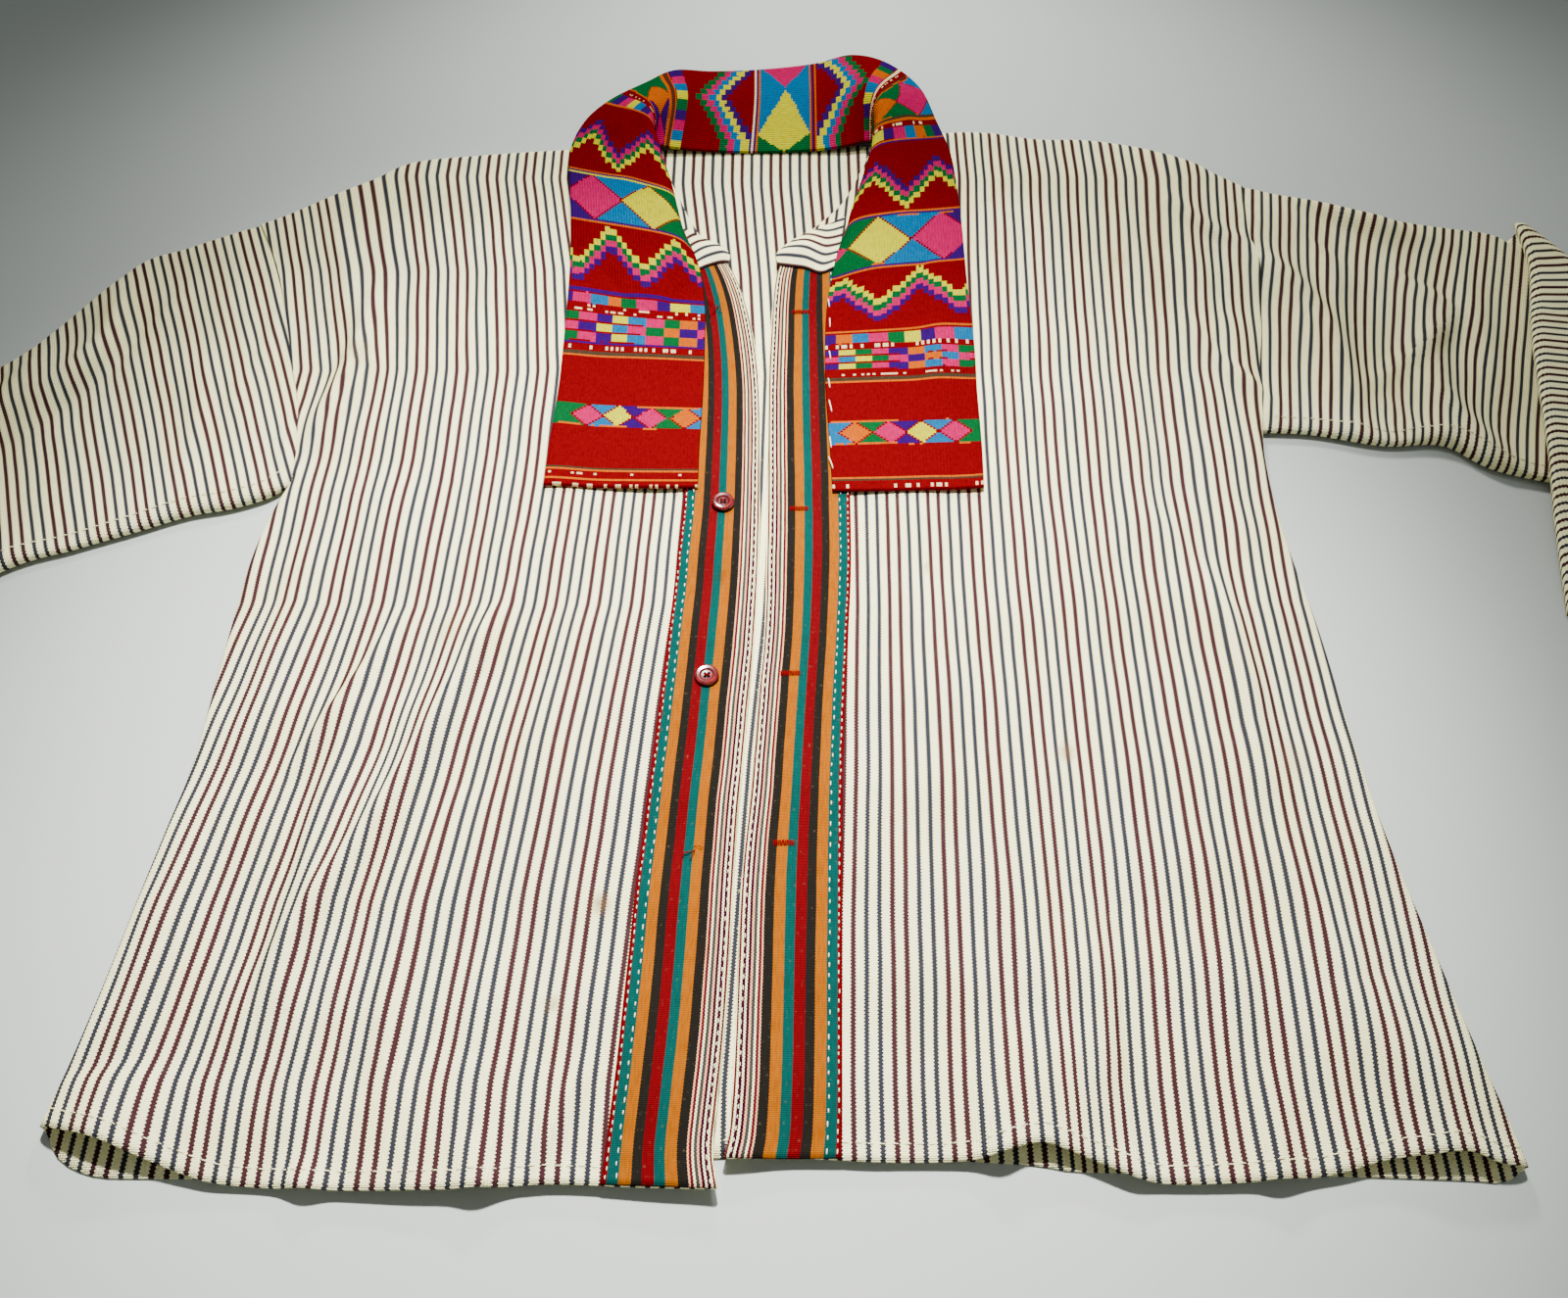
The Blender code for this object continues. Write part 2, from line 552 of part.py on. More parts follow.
def build_button(name, x, y):
    """A four-hole button, turned with a raised rim, lying on the right strip."""
    radius = BUTTON_DIAMETER / 2
    thick = BUTTON_THICKNESS
    profile = [(0.0, 0.55 * thick), (0.45 * radius, 0.6 * thick), (0.62 * radius, 0.95 * thick),
               (0.8 * radius, thick), (0.95 * radius, 0.8 * thick), (radius, 0.45 * thick),
               (0.92 * radius, 0.12 * thick), (0.7 * radius, 0.0), (0.0, 0.0)]
    mesh = bpy.data.meshes.new(name)
    mesh.from_pydata([(r, 0, z) for r, z in profile], [(i, i + 1) for i in range(8)], [])
    obj = bpy.data.objects.new(name, mesh)
    SHIRT.objects.link(obj)
    mesh.materials.append(material(BUTTON_LOOK))
    turn = obj.modifiers.new("turn", "SCREW")
    turn.axis = "Z"
    turn.steps = 20
    turn.render_steps = 20
    turn.use_merge_vertices = True
    turn.merge_threshold = 0.0001
    place = np.array([[x, y]], float)
    rest = band_height(place)[0] + BAND_CLOTH / 2 + BUTTON_SHANK
    obj.location = (x, y, rest)
    drill = bpy.data.objects.new(name + "_drill", drill_mesh(name))
    CUTTERS.objects.link(drill)
    drill.location = obj.location
    drill.hide_render = True
    drill.display_type = "WIRE"
    cut = obj.modifiers.new("holes", "BOOLEAN")
    cut.operation = "DIFFERENCE"
    cut.solver = "EXACT"
    cut.object = drill
    return obj


def drill_mesh(name):
    """Four square-set rods, one through each hole."""
    rods = bpy.data.meshes.new(name + "_rods")
    points = []
    faces = []
    sides = 8
    for quarter in range(4):
        angle = math.pi / 4 + quarter * math.pi / 2
        centre_x = BUTTON_HOLE_SPREAD * math.cos(angle)
        centre_y = BUTTON_HOLE_SPREAD * math.sin(angle)
        first = len(points)
        for level in (-2.0, BUTTON_THICKNESS + 2.0):
            for side in range(sides):
                turn = 2 * math.pi * side / sides
                points.append((centre_x + BUTTON_HOLE / 2 * math.cos(turn),
                               centre_y + BUTTON_HOLE / 2 * math.sin(turn), level))
        for side in range(sides):
            after = (side + 1) % sides
            faces.append((first + side, first + after, first + sides + after,
                          first + sides + side))
        faces.append(tuple(first + side for side in reversed(range(sides))))
        faces.append(tuple(first + sides + side for side in range(sides)))
    rods.from_pydata(points, [], faces)
    return rods


def make_collection(name):
    """A collection of this name in the scene."""
    made = bpy.data.collections.new(name)
    bpy.context.scene.collection.children.link(made)
    return made


def centre_in_metres():
    """Puts the shirt's own box over the origin and turns millimetres into metres."""
    bpy.context.view_layer.update()
    graph = bpy.context.evaluated_depsgraph_get()
    corners = []
    for obj in SHIRT.objects:
        made = obj.evaluated_get(graph)
        corners.extend(np.array(made.matrix_world @ v.co) for v in made.data.vertices)
    low = np.min(corners, axis=0)
    high = np.max(corners, axis=0)
    shift = np.array([(low[0] + high[0]) / 2, (low[1] + high[1]) / 2, low[2]])
    for obj in list(SHIRT.objects) + list(CUTTERS.objects):
        for vertex in obj.data.vertices:
            vertex.co = np.array(vertex.co) / 1000
        obj.location = (np.array(obj.location) - shift) / 1000
        for modifier in obj.modifiers:
            if modifier.type == "SOLIDIFY":
                modifier.thickness /= 1000
            if modifier.type == "SCREW":
                modifier.merge_threshold /= 10


for old in list(bpy.data.objects):
    bpy.data.objects.remove(old, do_unlink=True)
SHIRT = make_collection("embroidered_shirt")
CUTTERS = make_collection("cutters")
CUTTERS.hide_render = True

build_back()
build_front("front_right", RIGHT_HEM, RIGHT_NECK, RIGHT_SHOULDER, RIGHT_FRONT_EDGE, RIGHT_SIDE,
            RIGHT_ARMHOLE)
build_front("front_left", LEFT_HEM, LEFT_NECK, LEFT_SHOULDER, LEFT_FRONT_EDGE, LEFT_SIDE,
            LEFT_ARMHOLE)
build_right_sleeve()
build_left_sleeve()
build_band("band_right", RIGHT_FRONT_EDGE, RIGHT_BAND_OUTER)
build_band("band_left", LEFT_FRONT_EDGE, LEFT_BAND_OUTER)
over_strip = CLOTH / 2 + LAY + BAND_CLOTH + LAY
build_sections("neckband_right", RIGHT_NECKBAND, NECKBAND_CELLS, over_strip + CLOTH / 2, COTTON,
               CLOTH)
build_sections("neckband_left", LEFT_NECKBAND, NECKBAND_CELLS, over_strip + CLOTH / 2, COTTON,
               CLOTH)
build_sections("collar", COLLAR, COLLAR_CELLS, over_strip + BROCADE / 2, BROCADE_LOOK, BROCADE)
for button, button_x, button_y in BUTTON_PLACES:
    build_button(button, button_x, button_y)
centre_in_metres()
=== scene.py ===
"""Looks of the striped shirt with a brocaded collar, laid open on a pale surface.

Every cloth piece is a thin shell on the form of its solid, with softer and finer creases. The
plan is in millimetres, as in the part's source: x to the right, y from the hem to the collar,
z up. Left and right in a name are the wearer's.
"""

import math

import bpy
import numpy as np
from mathutils.kdtree import KDTree
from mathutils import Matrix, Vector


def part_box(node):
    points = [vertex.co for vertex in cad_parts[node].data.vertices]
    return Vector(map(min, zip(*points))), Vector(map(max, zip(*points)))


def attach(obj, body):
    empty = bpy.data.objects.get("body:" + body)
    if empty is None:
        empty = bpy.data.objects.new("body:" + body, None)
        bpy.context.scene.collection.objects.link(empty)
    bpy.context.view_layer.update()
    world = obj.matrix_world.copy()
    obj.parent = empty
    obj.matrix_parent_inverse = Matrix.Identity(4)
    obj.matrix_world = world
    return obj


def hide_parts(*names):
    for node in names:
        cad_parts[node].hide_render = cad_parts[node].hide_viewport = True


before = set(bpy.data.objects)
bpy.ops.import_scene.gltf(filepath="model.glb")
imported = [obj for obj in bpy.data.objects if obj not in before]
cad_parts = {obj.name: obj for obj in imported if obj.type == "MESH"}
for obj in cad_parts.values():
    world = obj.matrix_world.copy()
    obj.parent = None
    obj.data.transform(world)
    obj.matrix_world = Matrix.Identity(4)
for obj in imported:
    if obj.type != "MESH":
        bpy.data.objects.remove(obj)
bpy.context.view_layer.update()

# Cloth thicknesses and clearances, in millimetres
CLOTH = 1.5
BAND_CLOTH = 1.2
BROCADE = 2.0
SEAM = 1.0
LAY = 0.45
OVER_STRIP = CLOTH / 2 + LAY + BAND_CLOTH + LAY

# How high the upper layer lies, in millimetres
SEAM_HEIGHT = 5.0
REST_HEIGHT = 5.0
SIDE_SWELL = 4.0
SWELL_REACH = 45.0
ROLL = 9.0

# Plan of the right half, one (x, y) row for each place along the edge
RIGHT_HEM = [(-33, -4), (-68, -3), (-118, -1), (-160, -4), (-226, -4), (-281, -1), (-301, 3),
             (-322, 10), (-350, 20), (-381, 27)]
RIGHT_SIDE = [(-381, 27), (-374, 63), (-367, 106), (-359, 163), (-354, 196), (-348, 240),
              (-346, 300), (-343, 380), (-337, 420), (-328, 451)]
RIGHT_ARMHOLE = [(-328, 451), (-329, 474), (-335, 515), (-348, 558), (-362, 612), (-377, 657),
                 (-396, 699)]
RIGHT_SHOULDER = [(-105, 786), (-166, 784), (-229, 778), (-289, 769), (-317, 750), (-345, 732),
                  (-378, 709), (-396, 699)]
RIGHT_NECK = [(-50, 672), (-66, 692), (-80, 725), (-92, 757), (-105, 786)]
RIGHT_FRONT_EDGE = [(-33, -4), (-36, 15), (-34, 43), (-30, 106), (-27, 193), (-22, 270),
                    (-18, 335), (-16, 400), (-16, 478), (-17, 531), (-21, 577), (-28, 616),
                    (-37, 645), (-50, 672)]

# Plan of the left half
LEFT_HEM = [(-31, 11), (7, 12), (50, 10), (99, 11), (128, 18), (143, 15), (161, 8), (180, 1),
            (204, -1), (255, 1), (280, 4), (304, 10), (327, 12), (346, 13), (361, 8), (376, 7)]
LEFT_SIDE = [(376, 7), (373, 28), (366, 63), (357, 115), (346, 181), (341, 225), (337, 280),
             (333, 335), (327, 388), (324, 430), (324, 469), (327, 496)]
LEFT_ARMHOLE = [(327, 496), (332, 539), (344, 596), (351, 647), (350, 690), (355, 742)]
LEFT_SHOULDER = [(72, 791), (126, 803), (163, 804), (202, 797), (241, 795), (280, 787),
                 (317, 770), (334, 757), (355, 742)]
LEFT_NECK = [(0, 668), (20, 690), (44, 722), (60, 757), (72, 791)]
LEFT_FRONT_EDGE = [(-31, 11), (-28, 28), (-26, 73), (-24, 163), (-19, 225), (-15, 292),
                   (-12, 335), (-11, 427), (-11, 531), (-9, 600), (-6, 640), (0, 668)]

BACK_HEM = [(-381, 27), (-371, 13), (-354, 5), (-328, 3), (-200, 4), (0, 14), (119, 10),
            (157, 6), (282, 4), (346, 2), (365, 1), (376, 7)]
BACK_NECK = [(-105, 786), (-90, 792), (-60, 794), (25, 796), (58, 796), (72, 791)]

# The right sleeve lies straight. The top of the arm and the underarm seam, from the armhole out
RIGHT_SLEEVE_TOP = [(-396, 699), (-416, 688), (-447, 672), (-472, 660), (-494, 632), (-521, 590),
                    (-552, 552), (-640, 480), (-730, 411), (-820, 342)]
RIGHT_SLEEVE_UNDER = [(-328, 451), (-343, 439), (-366, 430), (-392, 424), (-424, 411),
                      (-460, 397), (-505, 378), (-575, 318), (-648, 254), (-720, 191)]

# The left sleeve folds back at the elbow. Its stations up to the fold line, then past it
LEFT_SLEEVE_TOP = [(355, 742), (400, 724), (444, 707), (500, 695), (530, 689), (543, 681)]
LEFT_SLEEVE_UNDER = [(327, 496), (362, 494), (409, 484), (450, 484), (486, 460), (590, 434),
                     (722, 393)]
LEFT_CUFF_LEADING = [(543, 681), (545, 640), (531, 578), (521, 520), (512, 463), (504, 414),
                     (495, 345)]
LEFT_CUFF_TRAILING = [(722, 393), (721, 380), (720, 366), (718, 350), (715, 335), (712, 320),
                      (708, 303)]
FOLD_INNER = 6.6
FOLD_OUTER = 12.0

# Height of the folded-back forearm's lower layer, by its share of the way from fold to wrist
FOREARM_SHARES = (0, 0.2, 0.62, 0.8, 1)
FOREARM_HEIGHTS = (19.35, 11.6, 11.4, 6, 0.75)

# Largest folds: three (x, y) places along each, half width, height (a trough is negative), and
# lean, the share by which the side towards +x is the wider one
FOLDS = [
    (-176, 385, -222, 250, -300, 50, 17, 6.5, 0.35),
    (-236, 350, -262, 285, -292, 225, 12, 4.0, 0.3),
    (-185, 225, -197, 190, -212, 150, 11, 3.5, 0.3),
    (-290, 640, -296, 545, -322, 468, 13, 6.5, -0.4),
    (-318, 640, -318, 545, -330, 475, 9, -3.5, 0.0),
    (-250, 470, -262, 400, -270, 330, 24, 4.0, 0.0),
    (-110, 420, -128, 300, -140, 160, 22, 3.0, 0.2),
    (-355, 60, -348, 20, -345, -30, 26, 11.0, 0.0),
    (-170, 70, -176, 10, -178, -40, 34, 4.0, 0.0),
    (-60, 90, -62, 10, -62, -40, 24, 2.5, 0.0),
    (-470, 640, -492, 552, -580, 478, 17, 9.0, -0.35),
    (-455, 600, -478, 540, -560, 450, 10, -3.0, 0.0),
    (-400, 640, -402, 560, -420, 440, 20, 4.0, 0.3),
    (326, 690, 366, 625, 384, 500, 14, 8.0, 0.4),
    (470, 640, 455, 530, 462, 465, 15, 7.0, -0.3),
    (420, 640, 424, 560, 430, 470, 17, -3.0, 0.0),
    (318, 610, 320, 550, 332, 495, 11, 6.0, 0.2),
    (236, 430, 264, 365, 284, 262, 17, 6.5, -0.4),
    (200, 640, 206, 540, 214, 430, 26, 3.5, 0.0),
    (162, 130, 170, 50, 178, -30, 15, 6.0, -0.3),
    (132, 90, 130, 20, 128, -30, 26, 8.0, 0.0),
    (318, 110, 336, 30, 342, -30, 26, 10.0, 0.0),
    (90, 330, 96, 230, 98, 120, 26, 3.0, 0.0),
    (-20, 60, -24, 10, -26, -40, 20, 3.0, 0.0),
]

# The collar band, a row for each section from the right lapel's end round the neck to the left
# one's: the sewn edge, the roll and the free edge, each with its height
COLLAR = [
    (-57, 443, 0, -108, 443, 0, -159, 444, 0),
    (-57, 482, 0, -106, 483, 0, -158, 485, 0),
    (-56, 523, 0, -104, 525, 0, -156, 527, 0),
    (-56, 565, 0, -102, 568, 0, -156, 570, 0),
    (-57, 608, 0, -96, 612, 11, -157, 622, 0),
    (-62, 645, 12, -89, 652, 16, -159, 672, 10),
    (-74, 680, 13, -88, 694, 22, -163, 726, 12),
    (-88, 722, 12, -93, 732, 27, -167, 772, 13),
    (-98, 757, 11, -101, 768, 31, -158, 808, 14),
    (-103, 779, 10.5, -105, 795, 31, -139, 834, 15),
    (-100, 787, 9, -99, 822, 23, -112, 860, 12),
    (-86, 787, 6.5, -82, 840, 13, -90, 881, 8),
    (-60, 786, 4.5, -56, 842, 8, -58, 887, 2.5),
    (-18, 786, 3.0, -16, 842, 6, -16, 891, 1.6),
    (25, 787, 4.5, 25, 845, 8, 25, 897, 2.5),
    (50, 789, 7, 50, 848, 13, 56, 901, 8),
    (65, 792, 9, 68, 838, 23, 84, 884, 13),
    (71, 788, 10.5, 76, 808, 31, 109, 850, 15),
    (69, 764, 11, 74, 778, 31, 121, 808, 14),
    (60, 728, 12, 68, 740, 27, 130, 770, 13),
    (47, 686, 13, 60, 700, 22, 133, 722, 12),
    (37, 648, 12, 64, 655, 16, 134, 672, 10),
    (31, 608, 0, 70, 612, 11, 134, 622, 0),
    (29, 565, 0, 76, 568, 0, 135, 570, 0),
    (29, 523, 0, 80, 525, 0, 134, 527, 0),
    (31, 480, 0, 82, 482, 0, 134, 484, 0),
    (32, 440, 0, 82, 441, 0, 133, 444, 0),
]

# The bright strips: the outer edge of each, from the hem up; the inner edge is the front's own
RIGHT_BAND_OUTER = [(-92, -1.5), (-90, 27), (-87, 73), (-83, 162), (-78, 237), (-72, 326),
                    (-69, 378), (-66, 442), (-65, 520), (-66, 570), (-69, 610), (-76, 658)]
LEFT_BAND_OUTER = [(29, 11.5), (30, 27), (31, 73), (33, 162), (35, 237), (40, 326), (43, 378),
                   (44, 440), (43, 500), (42, 560), (41, 600), (40, 656)]
BAND_TOP_SHARE = 0.975

# The turned-out neckline strips, a row for each section: lower edge, crest and upper edge
RIGHT_NECKBAND = [
    (-41, 655, 9.2, -40, 661, 9.6, -42, 667, 9.2),
    (-47, 655, 9.2, -47, 664, 11.5, -50, 675, 9.2),
    (-55, 652, 9.2, -57, 665, 11.5, -62, 682, 9.2),
    (-62, 648, 9.2, -67, 666, 9.8, -73, 690, 9.2),
    (-68, 642, 9.2, -74, 668, 9.2, -81, 700, 9.2),
]
LEFT_NECKBAND = [
    (-4, 653, 9.2, -6, 660, 9.6, -4, 667, 9.2),
    (6, 651, 9.2, 4, 664, 12.5, 5, 677, 9.2),
    (16, 649, 9.2, 16, 668, 13.5, 19, 688, 9.2),
    (27, 644, 9.2, 30, 668, 11, 34, 696, 9.2),
    (37, 649, 9.2, 42, 672, 9.2, 46, 704, 9.2),
]

# Shares of the edges at which one seam ends and the next one begins
NECK_CORNER = 0.29
BACK_NECK_CORNERS = (0.38, 0.62)
UNDERARM_CORNER = 0.63

# Places of single stripes across the body, a row for each y: y, then x of each stripe
STRIPE_PLACES = [
    (750, -355, -301, -257, -218, -180, -46, 7, 161, 200, 238, 280, 311),
    (650, -326, -278, -238, -201, -162, -32, -4, 156, 194, 231, 271, 300),
    (550, -302, -266, -226, -190, -151, -19, -9, 152, 189, 225, 263, 289),
    (450, -303, -265, -225, -190, -151, -16, -11, 149, 185, 221, 258, 285),
    (350, -304, -267, -229, -194, -157, -18, -12, 147, 184, 220, 257, 281),
    (250, -320, -281, -241, -211, -172, -23, -17, 147, 183, 220, 260, 285),
    (150, -337, -297, -259, -226, -183, -28, -24, 147, 182, 220, 260, 287),
    (50, -351, -309, -269, -233, -190, -34, -27, 144, 175, 215, 256, 284),
]
# The columns of the two stripes along the front edges, which the back goes without
FRONT_EDGE_PLACES = (6, 7)
# The y of the row whose places name the stripes, and the cloth's width against that row's
STRIPE_NAMED = 350
STRIPE_PACK = 0.97

# The x about which each side's stripes are counted, and how far apart the pieces' counts start
FRONT_MIDDLE = -24.0
BACK_MIDDLE = -15.0
BODY_START = 2000
RIGHT_SLEEVE_START = 3000
LEFT_SLEEVE_START = 900
# How the sleeves' stripes lean, x against y, and the cloth's width against the plan's. The left
# one's lean changes between two places
RIGHT_SLEEVE_LEAN = 0.37
RIGHT_SLEEVE_PACK = 1.066
LEFT_SLEEVE_LEAN = ((400, 490), (0.18, 0.33))
LEFT_SLEEVE_LEVEL = 600
LEFT_SLEEVE_PACK = 1.04

# Softer creases than the solids have: three places, half width, height and lean, as for FOLDS
CREASES = [
    (-150, 640, -158, 520, -150, 400, 17, 3.0, 0.2),
    (-205, 700, -215, 610, -235, 520, 14, 3.6, 0.3),
    (-255, 735, -262, 650, -270, 560, 10, 2.6, -0.2),
    (-340, 690, -322, 640, -318, 575, 8, 4.0, 0.3),
    (-210, 560, -206, 470, -214, 390, 12, -2.3, 0.0),
    (-300, 430, -310, 330, -322, 230, 14, 4.7, 0.2),
    (-120, 380, -150, 250, -200, 120, 13, 3.2, 0.2),
    (-150, 150, -162, 90, -170, 20, 10, 3.8, 0.2),
    (-240, 140, -250, 80, -258, 15, 9, 3.6, -0.2),
    (-335, 200, -345, 130, -350, 60, 11, 4.3, 0.0),
    (-95, 250, -104, 150, -110, 40, 11, 2.6, 0.0),
    (-280, 190, -262, 120, -240, 60, 8, -2.5, 0.0),
    (-430, 640, -452, 590, -470, 530, 8, 3.6, 0.3),
    (-405, 560, -400, 500, -405, 450, 8, 4.3, 0.0),
    (-520, 570, -540, 510, -548, 430, 10, 4.0, 0.2),
    (-380, 640, -384, 570, -375, 500, 7, 2.6, 0.0),
    (105, 700, 112, 600, 104, 500, 15, 2.9, 0.2),
    (160, 740, 172, 650, 176, 560, 12, 3.2, 0.0),
    (250, 740, 262, 660, 268, 570, 12, 3.6, -0.2),
    (300, 700, 306, 640, 300, 570, 8, 3.2, 0.0),
    (120, 480, 118, 380, 126, 290, 15, -2.2, 0.0),
    (180, 420, 190, 300, 200, 190, 14, 3.8, 0.2),
    (240, 560, 236, 480, 226, 400, 11, 4.7, 0.3),
    (286, 470, 300, 380, 306, 300, 10, 3.2, 0.0),
    (230, 230, 240, 150, 246, 70, 11, 4.0, 0.0),
    (282, 190, 300, 120, 308, 50, 9, 3.2, 0.2),
    (60, 240, 70, 150, 74, 60, 12, 2.6, 0.0),
    (110, 200, 128, 130, 140, 70, 9, 3.2, 0.0),
    (395, 700, 402, 640, 400, 580, 8, 3.2, 0.2),
    (440, 690, 452, 650, 470, 610, 8, 3.8, 0.0),
    (500, 660, 498, 600, 500, 530, 10, 5.1, 0.2),
    (420, 530, 425, 505, 436, 488, 7, 3.8, 0.0),
    (350, 668, 388, 595, 390, 485, 7, 6.1, 0.4),
    (469, 636, 478, 595, 405, 529, 7, 5.5, -0.3),
    (348, 739, 432, 671, 503, 632, 13, -6.0, 0.0),
    (452, 533, 475, 478, 487, 452, 8, 5.1, 0.3),
    (-294, 652, -301, 561, -327, 472, 7, 7.2, -0.5),
    (-373, 648, -366, 583, -384, 502, 8, 5.1, 0.3),
    (-333, 515, -339, 476, -327, 459, 5, 4.4, 0.0),
    (-482, 624, -479, 558, -531, 481, 9, 7.7, -0.4),
    (-167, 370, -183, 333, -200, 277, 8, 4.4, 0.3),
    (-256, 291, -268, 186, -276, 78, 12, 7.7, 0.3),
    (-204, 162, -212, 105, -208, 27, 9, 5.1, 0.0),
    (-248, 12, -240, -7, -233, -26, 9, 5.9, 0.0),
    (-161, 27, -155, 3, -150, -26, 10, 5.5, 0.0),
    (272, 394, 280, 291, 278, 211, 9, 6.1, 0.3),
    (165, 162, 170, 105, 165, 42, 10, 5.1, 0.0),
    (107, 52, 110, 17, 107, -26, 9, 5.7, 0.0),
    (252, 62, 250, 22, 247, -21, 10, 6.1, 0.2),
    (82, 394, 95, 291, 85, 199, 12, 4.4, 0.0),
    (377, 733, 445, 696, 526, 667, 10, 6.5, 0.0),
    (292, 604, 309, 554, 339, 515, 6, 4.7, -0.3),
    (287, 736, 317, 697, 355, 668, 7, 4.5, 0.3),
    (-241, 338, -259, 295, -294, 224, 6, 4.2, 0.4),
    (-184, 338, -228, 217, -283, 109, 7, 5.5, 0.4),
    (-100, 66, -115, 38, -129, 6, 6, 3.9, 0.3),
]

# Small stains: place, radius and strength
STAINS = [(-102, 149, 5, 0.7), (-124, 92, 4, 0.5), (168, 246, 5, 0.6), (-300, 560, 9, 0.25),
          (92, 380, 3, 0.5), (-40, 372, 4, 0.6), (-44, 120, 5, 0.5), (-20, 92, 4, 0.5),
          (250, 660, 8, 0.2), (-210, 330, 10, 0.18), (300, 240, 9, 0.2), (17, 170, 4, 0.5)]

# Stripe layout of the bright strips, from the outer edge in: colour name and width
STRIP_STRIPES = [("red", 3), ("teal", 6.5), ("orange", 7), ("soot", 5.8), ("red", 7),
                 ("teal", 6.3), ("orange", 7), ("soot", 6), ("blush", 1.2), ("crimson", 1.7),
                 ("cream", 1.2), ("pewter", 2.0), ("blush", 1.2), ("wine", 1.8), ("cream", 1.4),
                 ("wine", 1.9), ("cream", 1.3), ("crimson", 1.2), ("cream", 0.9)]
STRIP_WIDTH = sum(width for _, width in STRIP_STRIPES)

COLOURS = {
    "cream": (0.92, 0.87, 0.45), "wine": (0.028, 0.0016, 0.0105),
    "slate": (0.012, 0.014, 0.0285), "red": (0.105, 0.0013, 0.0035),
    "teal": (0.0006, 0.052, 0.045), "orange": (0.27, 0.072, 0.0006),
    "soot": (0.010, 0.009, 0.007), "crimson": (0.08, 0.005, 0.0094), "blush": (0.76, 0.36, 0.18),
    "pewter": (0.033, 0.035, 0.031),
}

# Brocade colours, by letter
DYES = {
    "R": (0.110, 0.0002, 0.0020), "Y": (0.40, 0.37, 0.0004), "G": (0.0004, 0.066, 0.016),
    "P": (0.33, 0.0016, 0.062), "B": (0.0007, 0.086, 0.205), "V": (0.020, 0.0008, 0.075),
    "O": (0.35, 0.064, 0.0004), "W": (0.62, 0.46, 0.24), "K": (0.034, 0.022, 0.012),
}

# Way along the collar, in millimetres, at each of its sections
COLLAR_RUN = [0, 40, 82, 124, 171, 213, 257, 300, 336, 361, 385, 408, 436, 477, 519, 547, 569,
              596, 628, 665, 709, 753, 798, 844, 887, 930, 970]
COLLAR_WIDTH = 104.0

# Plain cross stripes of the brocade: from, to and dye
CROSS_LINES = [
    (4, 5.5, "O"), (13.2, 14.4, "O"), (14.4, 15.4, "K"),
    (113.5, 115.5, "O"), (116.5, 118, "K"), (125, 127, "V"), (173.5, 175, "O"), (175, 176.4, "V"),
    (235, 236, "O"), (236, 237.4, "V"), (281, 282.4, "Y"), (282.4, 283.4, "V"), (284, 285.4, "O"),
    (356, 357.6, "O"), (396.6, 398, "O"), (399.4, 400.6, "K"), (401.4, 402.8, "O"),
    (470, 471.2, "W"), (471.2, 472.6, "V"), (472.6, 474, "O"),
    (514, 515.4, "O"), (515.4, 516.8, "V"), (518.6, 520, "O"),
    (578.6, 579.8, "W"), (581.4, 582.6, "O"), (584.6, 585.8, "K"), (621, 622.4, "K"),
    (623.4, 624.8, "O"), (644.4, 645.6, "O"), (645.6, 646.8, "V"), (718, 719.2, "O"),
    (719.2, 720.6, "V"), (764, 765.2, "V"), (765.2, 766.6, "O"), (825, 826.6, "O"),
    (871.4, 872.8, "K"), (873.6, 875, "O"), (960, 961.2, "O"), (961.2, 962.4, "K"),
    (967, 968.4, "K"),
]

# White flecks in a row across: from, to
FLECKS = [(0, 1.6), (966, 967.4), (121, 123.4), (157, 158.6), (160, 161), (369.5, 371),
          (581, 582), (627, 629), (839.5, 841), (867, 869), (9, 10.5)]

# Rows of coloured blocks: from, to, and their dyes with widths from the free or the sewn edge
BLOCKS = [
    (161.5, 173, "free", "VPBOGPVYB", (3.6, 14.5, 12, 10, 11, 15.5, 11, 14.5, 12)),
    (358, 368, "free", "GVPYBVPGO", (6, 13, 14, 12, 11, 12, 14, 12, 10)),
    (403, 413.5, "free", "VPBYGVPBY", (12, 13, 12, 12, 12, 12, 12, 12, 12)),
    (566.5, 577, "sewn", "PGVYBPOGV", (10, 12, 12, 13, 12, 13, 12, 10, 12)),
    (631, 643, "sewn", "PGYVPBOGV", (11, 12, 13, 12, 13, 12, 11, 10, 12)),
    (828, 838, "sewn", "VOBPGYVPB", (8, 11, 11, 15, 10, 13, 10, 12, 14)),
]

# Three-row checkers: from, to, edge, the dyes of each column and the columns' widths
CHECKERS = [
    (127.5, 155, "free", ("GPG", "PVP", "VYV", "YBY", "BPB", "PGP", "GOG", "OVO", "VPV"),
     (9, 14, 12, 12, 12, 14, 12, 14, 12)),
    (843, 863, "sewn", ("VPV", "YBY", "GYG", "PGP", "VPV", "OVO", "BOB", "PBP", "GPG"),
     (9, 12, 12, 12, 12, 12, 12, 12, 14)),
]

# Zigzags of four stripes: from, to, the w of a peak, way between peaks, the dyes in order of
# rising s, and 1 where the bands bow towards rising s at the peak, or -1
ZIGZAGS = [
    (181, 235, 71, 53, "VPGY", 1),
    (287, 343, 88, 56, "YGPV", 1),
    (662, 716, 88, 59, "VPGY", -1),
    (767, 818, 68, 58, "YGPV", -1),
]

